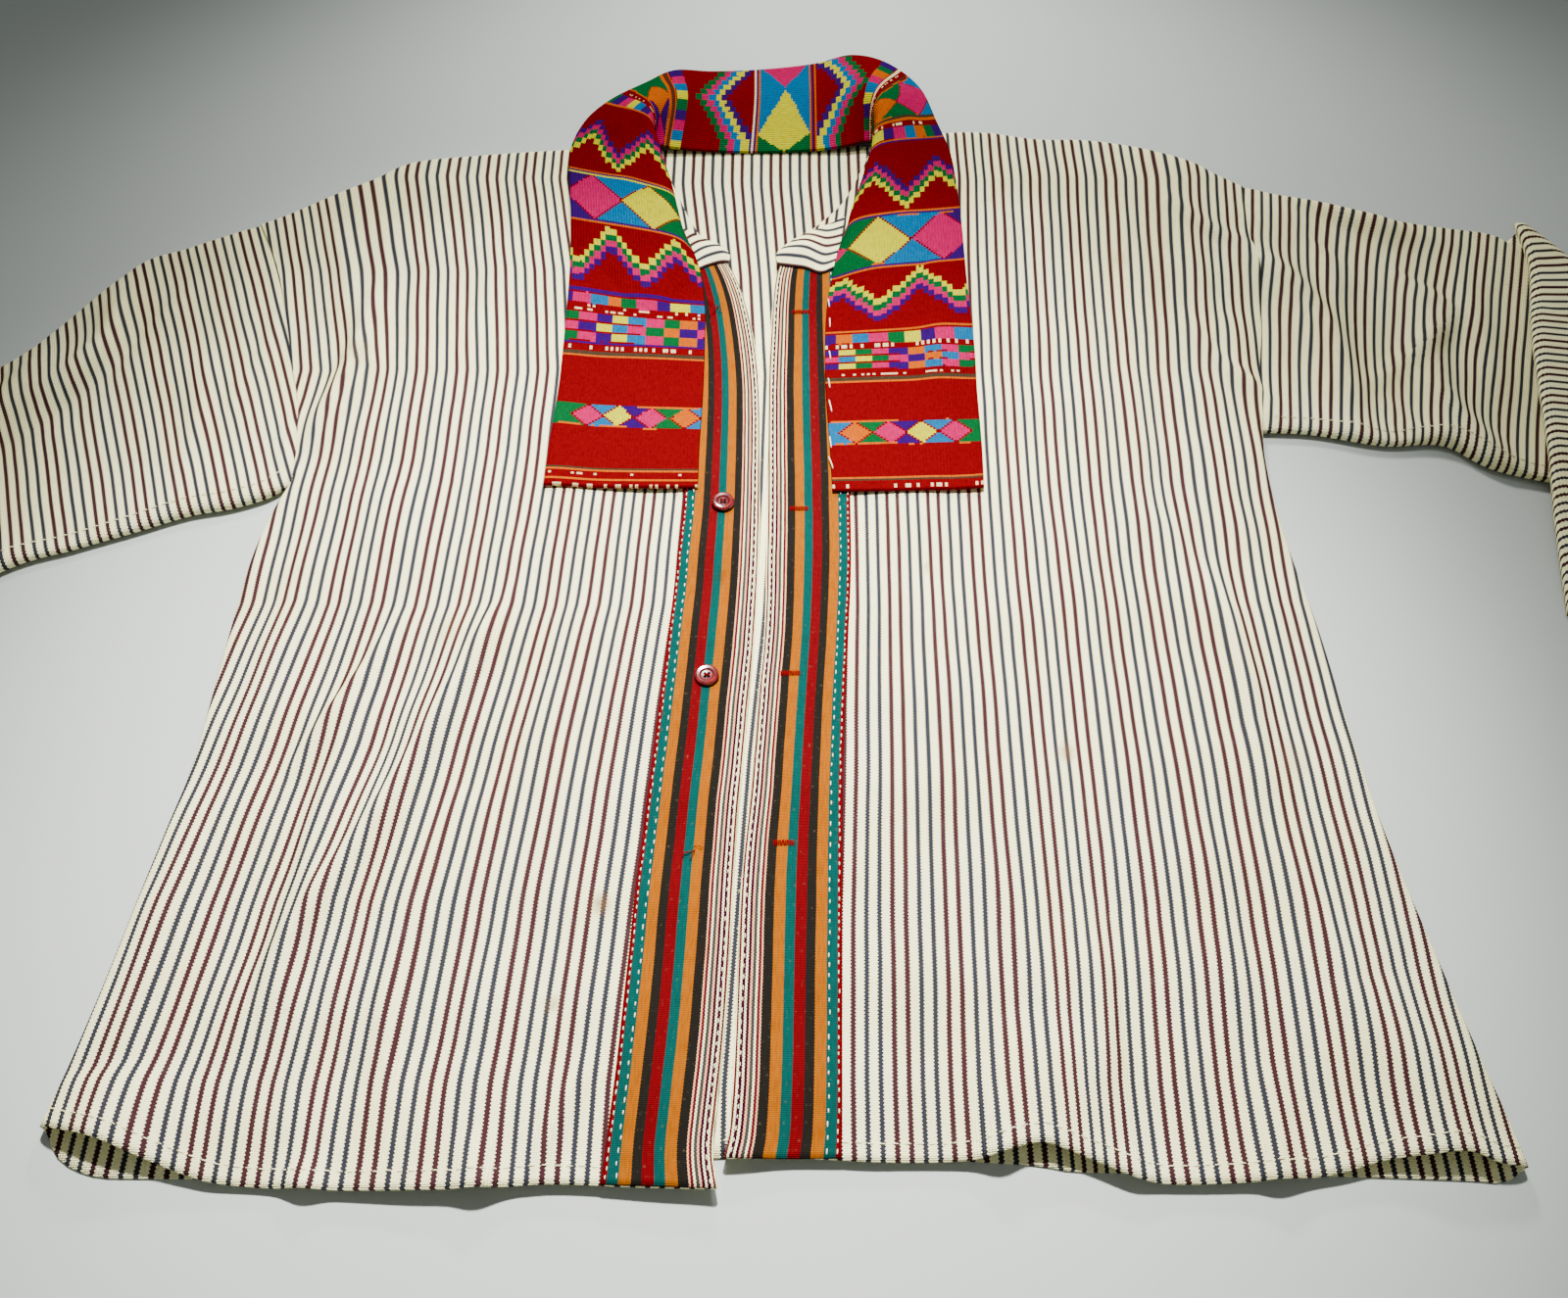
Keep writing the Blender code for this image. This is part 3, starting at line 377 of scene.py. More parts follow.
# Rows of diamonds: from, to, half width, half height, their centres' w with the dye, and the
# ground's dyes with the w at which each ends
DIAMONDS = [
    (51, 71, 10.5, 9, ((81, "P"), (59, "Y"), (36, "P"), (11, "O")),
     ((11, "B"), (36, "G"), (59, "V"), (81, "B"), (110, "G"))),
    (237.5, 281, 25, 21, ((35, "Y"), (84, "P"), (-14, "P")),
     ((35, "G"), (84, "B"), (110, "V"))),
    (374, 396.5, 25, 11, ((58, "O"), (8, "P")), ((58, "V"), (110, "G"))),
    (586, 621, 26, 17, ((32, "O"), (84, "P")), ((84, "G"), (110, "B"))),
    (720.5, 764, 25, 21, ((36, "Y"), (88, "P"), (-16, "P")),
     ((36, "G"), (88, "B"), (110, "V"))),
    (911, 932, 10.5, 9.5, ((18, "O"), (42, "P"), (64, "Y"), (87, "P")),
     ((18, "B"), (42, "G"), (64, "V"), (87, "B"), (110, "G"))),
]
# Width of a zigzag's blocks and depth of its layers
BLOCK = 4.42
LAYER = 5.5

# The panel at the middle of the back of the neck and the chevrons on both sides of it: the way
# along the collar to the middle, and the chevrons' block width and layer depth
COLLAR_MIDDLE = 494
CHEVRON_BLOCK = 7.4
CHEVRON_LAYER = 5.3

# Buckles of the collar's inner ease round the neck: place, radius and height
COLLAR_BUCKLES = [(-92, 700, 9, 1.5), (-118, 735, 12, 1.2), (-128, 790, 10, 1.5),
                  (-98, 845, 9, 1.3), (-40, 850, 12, 1.0), (10, 862, 12, 0.9), (64, 862, 9, 1.4),
                  (95, 800, 10, 1.5), (86, 740, 10, 1.4), (92, 690, 11, 1.1), (66, 650, 8, 0.9)]

# Long white stitches that hold the left lapel's inner edge: from, to
LAPEL_STITCHES = [((30, 469), (33, 458)), ((31, 487), (32, 476)), ((31, 520), (33, 508)),
                  ((31, 540), (32, 530)), ((32, 566), (33, 557)), ((33, 598), (33, 588)),
                  ((32, 617), (33, 608))]
# Red bound buttonholes on the left strip
BUTTONHOLES = [(12, 607), (10, 427), (4, 300), (0, 186)]
# Where buttons are missing, with their thread left in the cloth
THREAD_ENDS = [(-52, 183), (-48, 611)]

# Radius of each kind of thread, in millimetres
THREAD_RADIUS = {
    "hem_stitches": 0.34, "strip_stitches": 0.36, "lapel_stitches": 0.42,
    "buttonhole_stitches": 0.42, "loose_button_threads": 0.22, "frayed_edge_threads": 0.16,
    "collar_end_threads": 0.22, "button_threads": 0.24,
}
# Height of a stitch along its length, over the cloth's face
STITCH_ARCH = np.array([-0.25, 0.22, 0.35, 0.22, -0.25])
LAPEL_ARCH = np.array([-0.4, 0.2, 0.45, 0.45, 0.2, -0.4])
BUTTONHOLE_ARCH = np.array([-0.3, 0.3, 0.15, 0.3, -0.3])
# How far from the edge the hems and underarm seams are sewn
HEM_DEPTH = 9

# Striped cotton, in millimetres: pitch and half width of the lines, and how far they wander
LINE_PITCH = 6.6
HALF_LINE = 1.3
COOL_LINE_NARROWER = 0.08
LINE_WANDER = 1.6

# Turned-up hems, in millimetres: how thick the turn is, how wide, and how it slopes off
HEM_TURN = 0.35
HEM_WIDTH = 12
HEM_SLOPE = 1.5

# The middle of the upper layer never lies lower than this
LEAST_HEIGHT = 3.1

# A stain reaches this far past its radius, and is this much shorter along the stripes
STAIN_REACH = 1.35
STAIN_SQUASH = 0.8

# Bright strips: length of cloth, and the share of the width by which they clear the front's edge
BAND_LENGTH = 660
BAND_INSET = 0.012

# Neckline strips: length of cloth, where their stripes' count starts, and how wide they come out
NECKBAND_LENGTH = 60
NECKBAND_START = 300
NECKBAND_PACK = 0.75

# Unevenness of the brocade: jog of its columns, share of white flecks left out, spread of tone
COLUMN_JOG = 0.12
FLECK_GAPS = 0.72
TONE_SPREAD = 0.05
# The red line between a checker's blocks, the orange edge of a row of diamonds and the red rim
# of each diamond
CHECKER_LINE = 0.9
DIAMOND_EDGE = 1.0
DIAMOND_RIM = 1.6

# The collar's cut ends: from x, to x, and y; and the way between their loose threads
COLLAR_ENDS = ((-157, -60, 442.4), (34, 131, 441.0))
COLLAR_END_STEP = 3.1

# Tucked under an armhole's edge: the share of a sleeve that is, and how deep it goes
TUCK_SHARE = 0.03
TUCK_DEPTH = 1.6

# Two reds of the buttons and two tones of the surface
BUTTON_REDS = ((0.05, 0.0012, 0.002), (0.14, 0.005, 0.008))
FLOOR_TONES = ((0.40, 0.43, 0.41), (0.42, 0.45, 0.43))

# The photograph's camera, in metres and degrees
CAMERA_PLACE = (0.04424, -0.61852, 0.775)
CAMERA_TILT = 32.413
CAMERA_LENS = 33.75

# Lamps: name, place, target, cone, radius, power and colour; and the room's own light
LAMPS = [
    ("behind", (0.072, 0.73, 0.60), (0.095, 0.172, 0), 1.879, 0.08, 50, (1.0, 0.99, 0.96)),
    ("above", (0.061, 0.478, 1.558), (-0.013, -0.204, 0), 0.698, 0.07, 570, (1.0, 0.99, 0.97)),
]
ROOM_COLOUR = (0.96, 1.0, 0.97, 1)
ROOM_LIGHT = 0.28


def smooth_path(rows, per_span=12):
    """A smooth curve through the rows (Catmull-Rom), per_span points from each to the next."""
    points = np.array(rows, float)
    before = 2 * points[0] - points[1]
    after = 2 * points[-1] - points[-2]
    padded = np.vstack([before, points, after])
    out = []
    for index in range(1, len(padded) - 2):
        a, b, c, d = padded[index - 1:index + 3]
        for step in range(per_span):
            t = step / per_span
            out.append(0.5 * (2 * b + (c - a) * t + (2 * a - 5 * b + 4 * c - d) * t ** 2
                              + (3 * b - a - 3 * c + d) * t ** 3))
    out.append(points[-1])
    return np.array(out)


def way_along(points, axis=0):
    """How far along its row each point lies, from 0 at the first one."""
    steps = np.linalg.norm(np.diff(points, axis=axis), axis=-1)
    start = np.zeros_like(np.take(steps, [0], axis=axis))
    return np.concatenate([start, np.cumsum(steps, axis=axis)], axis=axis)


def along(path, shares):
    """Points of a path at the given shares of its length."""
    length = way_along(path)
    shares = np.asarray(shares, float) * length[-1]
    return np.stack([np.interp(shares, length, column) for column in path.T], axis=-1)


def distance_to(points, path):
    """The distance of each (x, y) point to a path."""
    start = path[:-1]
    step = path[1:] - start
    found = np.full(len(points), np.inf)
    for origin, run in zip(start, step):
        share = np.clip((points - origin) @ run / max(run @ run, 1e-9), 0, 1)
        gap = np.linalg.norm(points - origin - share[:, None] * run, axis=1)
        found = np.minimum(found, gap)
    return found


def inside(points, outline):
    """Whether each (x, y) point lies inside a closed outline."""
    found = np.zeros(len(points), bool)
    for a, b in zip(outline, np.roll(outline, -1, axis=0)):
        crosses = (a[1] > points[:, 1]) != (b[1] > points[:, 1])
        rise = b[1] - a[1] if b[1] != a[1] else 1e-9
        reach = a[0] + (points[:, 1] - a[1]) * (b[0] - a[0]) / rise
        found ^= crosses & (points[:, 0] < reach)
    return found


class Fold:
    """One ridge or trough that fades towards its ends, from a row of FOLDS."""

    def __init__(self, row):
        *places, self.half_width, self.height, self.lean = row
        self.path = smooth_path(np.reshape(places, (3, 2)))
        reach = 3.2 * self.half_width * (1 + abs(self.lean))
        self.low = self.path.min(axis=0) - reach
        self.high = self.path.max(axis=0) + reach

    def add_to(self, points, total):
        """Adds the fold's height to the total of the points near it."""
        here = np.flatnonzero(((points > self.low) & (points < self.high)).all(axis=1))
        if len(here) == 0:
            return
        near = points[here]
        steps = np.diff(self.path, axis=0)
        lengths = np.linalg.norm(steps, axis=1)
        nearest = np.full(len(near), np.inf)
        share = np.zeros(len(near))
        side = np.zeros(len(near))
        run = 0.0
        for origin, step, length in zip(self.path[:-1], steps, lengths):
            place = np.clip((near - origin) @ step / length ** 2, 0, 1)
            offset = near - origin - place[:, None] * step
            gap = np.hypot(offset[:, 0], offset[:, 1])
            closer = gap < nearest
            nearest = np.where(closer, gap, nearest)
            share = np.where(closer, (run + place * length) / lengths.sum(), share)
            side = np.where(closer, np.sign(offset[:, 0]), side)
            run += length
        width = self.half_width * (1 + self.lean * side)
        fade = np.sin(math.pi * np.clip(share, 0.02, 0.98)) ** 0.7
        total[here] += self.height * fade * np.exp(-(nearest / width) ** 2)


SILHOUETTE = [smooth_path(rows) for rows in (
    RIGHT_SIDE, RIGHT_SHOULDER, RIGHT_SLEEVE_TOP, RIGHT_SLEEVE_UNDER,
    LEFT_SIDE, LEFT_SHOULDER, LEFT_SLEEVE_TOP, LEFT_SLEEVE_UNDER)]


def edge_tree():
    """A tree of points along the silhouette, and each one's neighbours on both sides."""
    starts, ends = [], []
    for path in SILHOUETTE:
        count = int(np.linalg.norm(np.diff(path, axis=0), axis=1).sum() / 3) + 2
        fine = along(path, np.linspace(0, 1, count))
        starts.append(fine[:-1])
        ends.append(fine[1:])
    starts, ends = np.vstack(starts), np.vstack(ends)
    tree = KDTree(len(starts))
    for number, (x, y) in enumerate((starts + ends) / 2):
        tree.insert((x, y, 0), number)
    tree.balance()
    return tree, starts, ends - starts


EDGE_TREE, EDGE_STARTS, EDGE_RUNS = edge_tree()


def edge_distance(points):
    """How far each point is from the nearest edge where the cloth rolls over to its underside."""
    numbers = np.array([[found[1] for found in EDGE_TREE.find_n((x, y, 0), 3)]
                        for x, y in points])
    run = EDGE_RUNS[numbers]
    offset = points[:, None] - EDGE_STARTS[numbers]
    share = np.clip((offset * run).sum(axis=2) / (run ** 2).sum(axis=2), 0, 1)
    return np.linalg.norm(offset - share[..., None] * run, axis=2).min(axis=1)


def rolled(distance):
    """0 at a rolled edge, 1 from ROLL inwards, on a quarter of an ellipse."""
    return np.sqrt(1 - np.clip(1 - distance / ROLL, 0, 1) ** 2)


def upper_height(points):
    """Height of the middle of the upper layer above the surface."""
    distance = edge_distance(points)
    crest = REST_HEIGHT + SIDE_SWELL * np.exp(-distance / SWELL_REACH)
    for fold in ALL_FOLDS:
        fold.add_to(points, crest)
    crest = np.maximum(crest, REST_HEIGHT - 1 + SIDE_SWELL * np.exp(-distance / SWELL_REACH))
    return SEAM_HEIGHT + SEAM / 2 + (crest - SEAM_HEIGHT) * rolled(distance)


def lower_height(points):
    """Height of the middle of the lower layer: flat on the surface, turned up at the edges."""
    flat = CLOTH / 2
    return SEAM_HEIGHT - SEAM / 2 - (SEAM_HEIGHT - SEAM / 2 - flat) * rolled(edge_distance(points))


def along_parts(paths, corners, shares):
    """Like along, for paths that follow on from each other and meet at the given corners."""
    bounds = [0.0, *corners, 1.0]
    out = np.empty((len(shares), 2))
    for path, low, high in zip(paths, bounds, bounds[1:]):
        here = (shares >= low - 1e-9) & (shares <= high + 1e-9)
        out[here] = along(path, np.clip((shares[here] - low) / (high - low), 0, 1))
    return out


def patch(low, high, start, end, across, up):
    """A grid of (x, y) points between four rows of edge points (a Coons patch)."""
    u = across[None, :, None]
    v = up[:, None, None]
    sides = (1 - v) * low[None] + v * high[None] + (1 - u) * start[:, None] + u * end[:, None]
    corners = ((1 - u) * (1 - v) * low[0] + u * (1 - v) * low[-1]
               + (1 - u) * v * high[0] + u * v * high[-1])
    return sides - corners


def ring_plan(top, under, across):
    """Plan points of one sleeve section, from the underarm seam to the top of the arm."""
    return under + across[:, None] * (top - under)


def armhole_bow(armhole, across):
    """How far the armhole seam bows away from the straight line between its ends."""
    path = smooth_path(armhole)
    return along(path, across) - ring_plan(path[-1], path[0], across)


def flat_ring(plan, outer, inner):
    """A flattened tube section from its plan points and the heights of its two walls."""
    share = np.linspace(0, 1, len(plan))
    middle = (outer + inner) / 2
    shape = np.clip(np.sin(math.pi * share) * 4, 0, 1) ** 0.5
    over = np.column_stack([plan, middle + (outer - middle) * shape])
    under = np.column_stack([plan, middle + (inner - middle) * shape])[::-1]
    return np.vstack([over, under[1:-1]])


def front_outline(edge, neck, shoulder, armhole, side):
    """The closed outline of a front."""
    return np.vstack([smooth_path(edge), smooth_path(neck), smooth_path(shoulder),
                      smooth_path(armhole)[::-1], smooth_path(side)[::-1]])


RIGHT_OUTLINE = front_outline(RIGHT_FRONT_EDGE, RIGHT_NECK, RIGHT_SHOULDER, RIGHT_ARMHOLE,
                              RIGHT_SIDE)
LEFT_OUTLINE = front_outline(LEFT_FRONT_EDGE, LEFT_NECK, LEFT_SHOULDER, LEFT_ARMHOLE, LEFT_SIDE)


def on_front(points, clearance):
    """The height at which a piece clears the fronts and their strips, and 0 beyond them."""
    over = inside(points, RIGHT_OUTLINE) | inside(points, LEFT_OUTLINE)
    return np.where(over, upper_height(points) + clearance, 0)


def arch(row, shares):
    """Points of a section through its first edge, crest and second edge."""
    a, b, c = np.array(row, float).reshape(3, 3)
    return along(smooth_path([a, b, c]), shares)


# The plan's origin in the shared frame, from the place of the upper button in both
BUTTON_UPPER_PLACE = np.array([-40.0, 431.0])
low_corner, high_corner = (np.array(corner) * 1000 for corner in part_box("button_upper"))
SHIFT = np.append(BUTTON_UPPER_PLACE - (low_corner + high_corner)[:2] / 2, 0)

ALL_FOLDS = [Fold(row) for row in FOLDS + CREASES]

# Slow waves of the cloth: length, heading, phase and height
GRAIN = np.random.default_rng(7)
WAVES = [(GRAIN.uniform(55, 150), GRAIN.uniform(0, math.pi), GRAIN.uniform(0, 6.28),
          GRAIN.uniform(0.16, 0.42)) for _ in range(14)]


def slack(points):
    """Slow, uneven rise and fall of cloth that was smoothed out by hand."""
    total = np.zeros(len(points))
    for length, heading, phase, height in WAVES:
        run = points[:, 0] * math.cos(heading) + points[:, 1] * math.sin(heading)
        total += height * np.sin(run * 2 * math.pi / length + phase)
    return total * rolled(edge_distance(points))


def top_layer(points):
    """The upper layer's height with its creases and slack."""
    return np.maximum(upper_height(points) + slack(points), LEAST_HEIGHT)


def socket(node, name, value):
    """Sets one input of a shader node, by name."""
    node.inputs[name].default_value = value


def new_material(name, roughness=0.95):
    """A matte material, its Principled shader and a graph to add its nodes with."""
    made = bpy.data.materials.new(name)
    made.use_nodes = True
    shader = made.node_tree.nodes["Principled BSDF"]
    socket(shader, "Roughness", roughness)
    socket(shader, "Specular IOR Level", 0.0)
    return made, shader, Graph(made.node_tree)


class Wire:
    """A value in a shader. What is done to it with Python's operators becomes Math nodes."""

    def __init__(self, graph, output):
        self.graph = graph
        self.output = output

    def __add__(self, other):
        return self.graph.math("ADD", self, other)

    def __sub__(self, other):
        return self.graph.math("SUBTRACT", self, other)

    def __rsub__(self, other):
        return self.graph.math("SUBTRACT", other, self)

    def __mul__(self, other):
        return self.graph.math("MULTIPLY", self, other)

    def __truediv__(self, other):
        return self.graph.math("DIVIDE", self, other)

    def __mod__(self, other):
        return self.graph.math("FLOORED_MODULO", self, other)

    def __abs__(self):
        return self.graph.math("ABSOLUTE", self)


class Graph:
    """Adds shader nodes and joins them, so that a pattern reads as a formula."""

    def __init__(self, tree):
        self.tree = tree

    def put(self, value, target):
        """Joins a wire to an input, or sets the input to a number or a colour."""
        if isinstance(value, Wire):
            self.tree.links.new(value.output, target)
        else:
            target.default_value = (*value, 1) if isinstance(value, tuple) else value

    def node(self, kind, inputs):
        """A new node, with its inputs joined or set, by their name or number."""
        made = self.tree.nodes.new("ShaderNode" + kind)
        for key, value in inputs.items():
            self.put(value, made.inputs[key])
        return made

    def math(self, operation, first, second=0.0):
        """One Math node."""
        node = self.node("Math", {0: first, 1: second})
        node.operation = operation
        return Wire(self, node.outputs[0])

    def mix(self, share, first, second):
        """One colour Mix node."""
        node = self.tree.nodes.new("ShaderNodeMix")
        node.data_type = "RGBA"
        for key, value in (("Factor", share), (6, first), (7, second)):
            self.put(value, node.inputs[key])
        return Wire(self, node.outputs[2])

    def step(self, value, low, high):
        """0 below low and 1 above high, smooth between."""
        node = self.node("MapRange", {"Value": value, "From Min": low, "From Max": high})
        node.interpolation_type = "SMOOTHSTEP"
        return Wire(self, node.outputs["Result"])

    def wave(self, value, length):
        """A sine wave of the given length along a value."""
        return self.math("SINE", value * (2 * math.pi / length))

    def cloth(self):
        """The two coordinates of the mesh's UV map."""
        node = self.tree.nodes.new("ShaderNodeUVMap")
        node.uv_map = "cloth"
        split = self.node("SeparateXYZ", {0: Wire(self, node.outputs[0])})
        return Wire(self, split.outputs[0]), Wire(self, split.outputs[1])

    def place(self):
        """The place on the object."""
        return Wire(self, self.node("TexCoord", {}).outputs["Object"])

    def noise(self, place, scale, detail):
        """A Noise node's value at a place, or at a pair of coordinates."""
        if isinstance(place, tuple):
            pair = self.node("CombineXYZ", {0: place[0], 1: place[1]})
            place = Wire(self, pair.outputs[0])
        node = self.node("TexNoise", {"Vector": place, "Scale": scale, "Detail": detail})
        return Wire(self, node.outputs["Fac"])

    def attribute(self, name, output="Fac"):
        """A number or colour that the mesh carries."""
        node = self.tree.nodes.new("ShaderNodeAttribute")
        node.attribute_name = name
        return Wire(self, node.outputs[output])

    def bump(self, shader, height, distance, strength):
        """Joins a Bump node to the shader."""
        node = self.node("Bump", {"Distance": distance, "Strength": strength, "Height": height})
        self.tree.links.new(node.outputs[0], shader.inputs["Normal"])


def ribs(graph, u, v, warp_pitch, weft_pitch):
    """The height of a plain weave: warp threads side by side, beaded by the weft."""
    return graph.wave(u, warp_pitch) * 0.4 + abs(graph.wave(v, weft_pitch)) * 0.6


def striped_cotton():
    """Cream warp with thin lines, two wine and two blue-grey in turn."""
    made, shader, graph = new_material("striped_cotton_woven")
    u, v = (part * 1000 for part in graph.cloth())
    wander = (graph.noise((u, v * 0.4), 0.02, 2) - 0.5) * LINE_WANDER
    place = (u + wander + graph.wave(v, 2.0) * 0.32) / LINE_PITCH
    from_middle = abs(graph.math("FRACT", place) * LINE_PITCH - LINE_PITCH / 2)
    cool = graph.step(graph.math("FLOOR", place) % 4, 1.4, 1.6)
    beyond = from_middle - (HALF_LINE - cool * COOL_LINE_NARROWER)
    line = 1 - graph.step(beyond, -0.16, 0.16)
    fade = graph.step(graph.noise((u, v), 0.11, 3), 0.45, 0.85)
    line_colour = graph.mix(cool, COLOURS["wine"], COLOURS["slate"])
    line_colour = graph.mix(fade * 0.3, line_colour, (0.05, 0.035, 0.045))
    tone = graph.step(graph.noise((u, v), 0.013, 3), 0.3, 0.75)
    yarn = graph.step(graph.noise((u, v * 0.12), 0.9, 2), 0.35, 0.8)
    slub = graph.step(graph.noise((u * 0.9, v * 0.35), 0.42, 1), 0.72, 0.8)
    ground = graph.mix(tone, COLOURS["cream"], (0.95, 0.93, 0.54))
    ground = graph.mix(yarn * 0.5, ground, (0.74, 0.66, 0.36))
    ground = graph.mix(slub, ground, (0.95, 0.94, 0.62))
    colour = graph.mix(line * 0.985, ground, line_colour)
    colour = graph.mix(graph.attribute("stain"), colour, (0.11, 0.05, 0.022))
    graph.put(colour, shader.inputs["Base Color"])
    height = ribs(graph, u, v, 1.3, 2.3) + graph.noise((u, v), 0.8, 3) * 0.7 - line * 0.5
    graph.bump(shader, height, 0.00045, 0.8)
    return made


def bright_strip():
    """Warp-faced strip: red, teal, orange and soot stripes, with a cream inner edge."""
    made, shader, graph = new_material("bright_strip_woven", 0.9)
    u, v = graph.cloth()
    v = v * 1000
    shift = (graph.noise((u * 60, v), 0.02, 2) - 0.5) * 0.02
    ramp = graph.node("ValToRGB", {"Fac": u + shift + graph.wave(v, 1.9) * 0.0022})
    ramp.color_ramp.interpolation = "CONSTANT"
    elements = ramp.color_ramp.elements
    edge = 0.0
    for number, (name, width) in enumerate(STRIP_STRIPES):
        stop = elements[0] if number == 0 else elements.new(edge / STRIP_WIDTH)
        stop.color = (*COLOURS[name], 1)
        edge += width
    elements.remove(elements[-1])
    across = u * STRIP_WIDTH
    yarn = graph.step(graph.noise((across, v * 0.15), 0.8, 2), 0.3, 0.85)
    worn = graph.step(graph.noise((across, v), 0.35, 3), 0.6, 0.85)
    colour = graph.mix(yarn * 0.35, Wire(graph, ramp.outputs["Color"]), (0.006, 0.004, 0.003))
    colour = graph.mix(worn * 0.25, colour, (0.22, 0.13, 0.08))
    colour = graph.mix(graph.attribute("stain") * 0.5, colour, (0.02, 0.008, 0.005))
    graph.put(colour, shader.inputs["Base Color"])
    graph.bump(shader, ribs(graph, across, v, 1.4, 1.9), 0.0004, 0.8)
    return made


def brocade():
    """Red ground with thick coloured brocade. Each cell of the mesh carries its own colour."""
    made, shader, graph = new_material("brocade_woven")
    u, v = (part * 1000 for part in graph.cloth())
    yarn = graph.step(graph.noise((u, v * 0.3), 0.7, 3), 0.3, 0.8)
    fleck = graph.step(graph.noise((u * 0.6, v * 1.6), 0.5, 2), 0.80, 0.86)
    colour = graph.mix(yarn * 0.22, graph.attribute("dye", "Color"), (0.012, 0.0006, 0.0008))
    graph.put(graph.mix(fleck, colour, (0.5, 0.36, 0.2)), shader.inputs["Base Color"])
    relief = graph.wave(u, 2.3) * 0.5 + abs(graph.wave(v, 1.25)) * 0.5
    graph.bump(shader, relief + graph.attribute("raised") * 1.2, 0.0005, 0.9)
    return made


def plain_thread(name, colour):
    """Thread of one colour, with a little variation along it."""
    made, shader, graph = new_material(name, 0.8)
    darker = tuple(0.55 * part for part in colour)
    colour = graph.mix(graph.noise(graph.place(), 900, 2) * 0.4, colour, darker)
    graph.put(colour, shader.inputs["Base Color"])
    return made


def button_material():
    """Dark red, glossy and slightly clear plastic, in two tones that run together."""
    made, shader, graph = new_material("red_button_plastic", 0.16)
    swirl = graph.step(graph.noise(graph.place(), 260, 3), 0.3, 0.75)
    graph.put(graph.mix(swirl, *BUTTON_REDS), shader.inputs["Base Color"])
    socket(shader, "Coat Weight", 0.6)
    socket(shader, "Specular IOR Level", 0.6)
    socket(shader, "Subsurface Weight", 0.15)
    socket(shader, "Subsurface Scale", 0.002)
    return made


def finish_piece(obj, look, node):
    """The material, the body it rides on and the solid that it stands for."""
    obj.data.materials.append(look)
    obj.data.shade_smooth()
    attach(obj, "root")
    if node:
        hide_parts(node)
    return obj


def add_object(name, data):
    """A new object in the scene."""
    obj = bpy.data.objects.new(name, data)
    bpy.context.scene.collection.objects.link(obj)
    return obj


def make_mesh(name, points, faces):
    """A mesh object from plan points in millimetres."""
    mesh = bpy.data.meshes.new(name)
    mesh.from_pydata([tuple(p) for p in (np.asarray(points) - SHIFT) / 1000], [], faces)
    mesh.update()
    return add_object(name, mesh)


def grid_faces(rows, columns, closed=False):
    """Quads of a grid stored row by row. A closed one joins its last column to its first."""
    count = columns if closed else columns - 1
    row, column = np.meshgrid(np.arange(rows - 1), np.arange(count), indexing="ij")
    a = row * columns + column
    b = row * columns + (column + 1) % columns
    return np.stack([a, b, b + columns, a + columns], axis=-1).reshape(-1, 4).tolist()


def shell(name, points, faces, cloth, look, node, thickness=CLOTH):
    """A cloth shell: its mesh, its UVs in metres of cloth, its stains and its thin wall."""
    obj = make_mesh(name, points, faces)
    mesh = obj.data
    corners = np.empty(len(mesh.loops), int)
    mesh.loops.foreach_get("vertex_index", corners)
    layer = mesh.uv_layers.new(name="cloth")
    flat = np.asarray(cloth, float)
    if len(flat) == len(mesh.vertices):
        flat = flat[corners]
    layer.data.foreach_set("uv", (flat / 1000).ravel())
    stain = mesh.attributes.new("stain", "FLOAT", "POINT")
    amount = np.zeros(len(mesh.vertices))
    plan = np.asarray(points)[:, :2]
    for x, y, radius, strength in STAINS:
        gap = np.hypot(plan[:, 0] - x, (plan[:, 1] - y) * STAIN_SQUASH) / radius
        amount = np.maximum(amount, strength * np.clip(STAIN_REACH - gap, 0, 1))
    stain.data.foreach_set("value", amount)
    wall = obj.modifiers.new("wall", "SOLIDIFY")
    wall.thickness = thickness / 1000
    wall.offset = 0
    wall.use_quality_normals = True
    return finish_piece(obj, look, node)


def fine_shares(width, step, at_start=True):
    """Shares from 0 to 1 about a step apart, closer at the end, and at a start that rolls over."""
    turn = (1 - np.cos(np.linspace(0, math.pi / 2, 8))) * ROLL / width
    first = turn if at_start else np.array([0.0])
    last = 1 - turn[::-1]
    count = int((last[0] - first[-1]) * width / step)
    middle = np.linspace(first[-1], last[0], count + 1)[1:-1]
    return np.concatenate([first, middle, last])


def with_corners(shares, corners):
    """The shares with the nearest one moved on to each corner."""
    for corner in corners:
        shares[np.argmin(np.abs(shares - corner))] = corner
    return shares


def fan(plan, middle, edges=()):
    """Cloth coordinates of a body panel, whose stripes follow the ones in STRIPE_PLACES."""
    places = np.delete(np.array(STRIPE_PLACES, float), list(edges), axis=1)
    heights, lines = places[::-1, 0], places[::-1, 1:]
    names = lines[np.searchsorted(heights, STRIPE_NAMED)]
    across = np.array([np.interp(plan[:, 1], heights, line) for line in lines.T])
    after = np.clip((across <= plan[:, 0]).sum(axis=0), 1, len(names) - 1)
    spot = np.arange(len(plan))
    left, right = across[after - 1, spot], across[after, spot]
    named_left, named_right = names[after - 1], names[after]
    share = (plan[:, 0] - left) / (right - left)
    within = named_left + share * (named_right - named_left)
    below = names[0] + plan[:, 0] - across[0]
    above = names[-1] + plan[:, 0] - across[-1]
    u = np.where(share < 0, below, np.where(share > 1, above, within))
    return np.column_stack([u * STRIPE_PACK - middle + BODY_START, plan[:, 1]])


def hem_roll(plan, hem):
    """Turned-up hem: a slightly thicker margin along the hem line."""
    gap = distance_to(plan, smooth_path(hem))
    return HEM_TURN * np.clip((HEM_WIDTH - gap) / HEM_SLOPE, 0, 1)


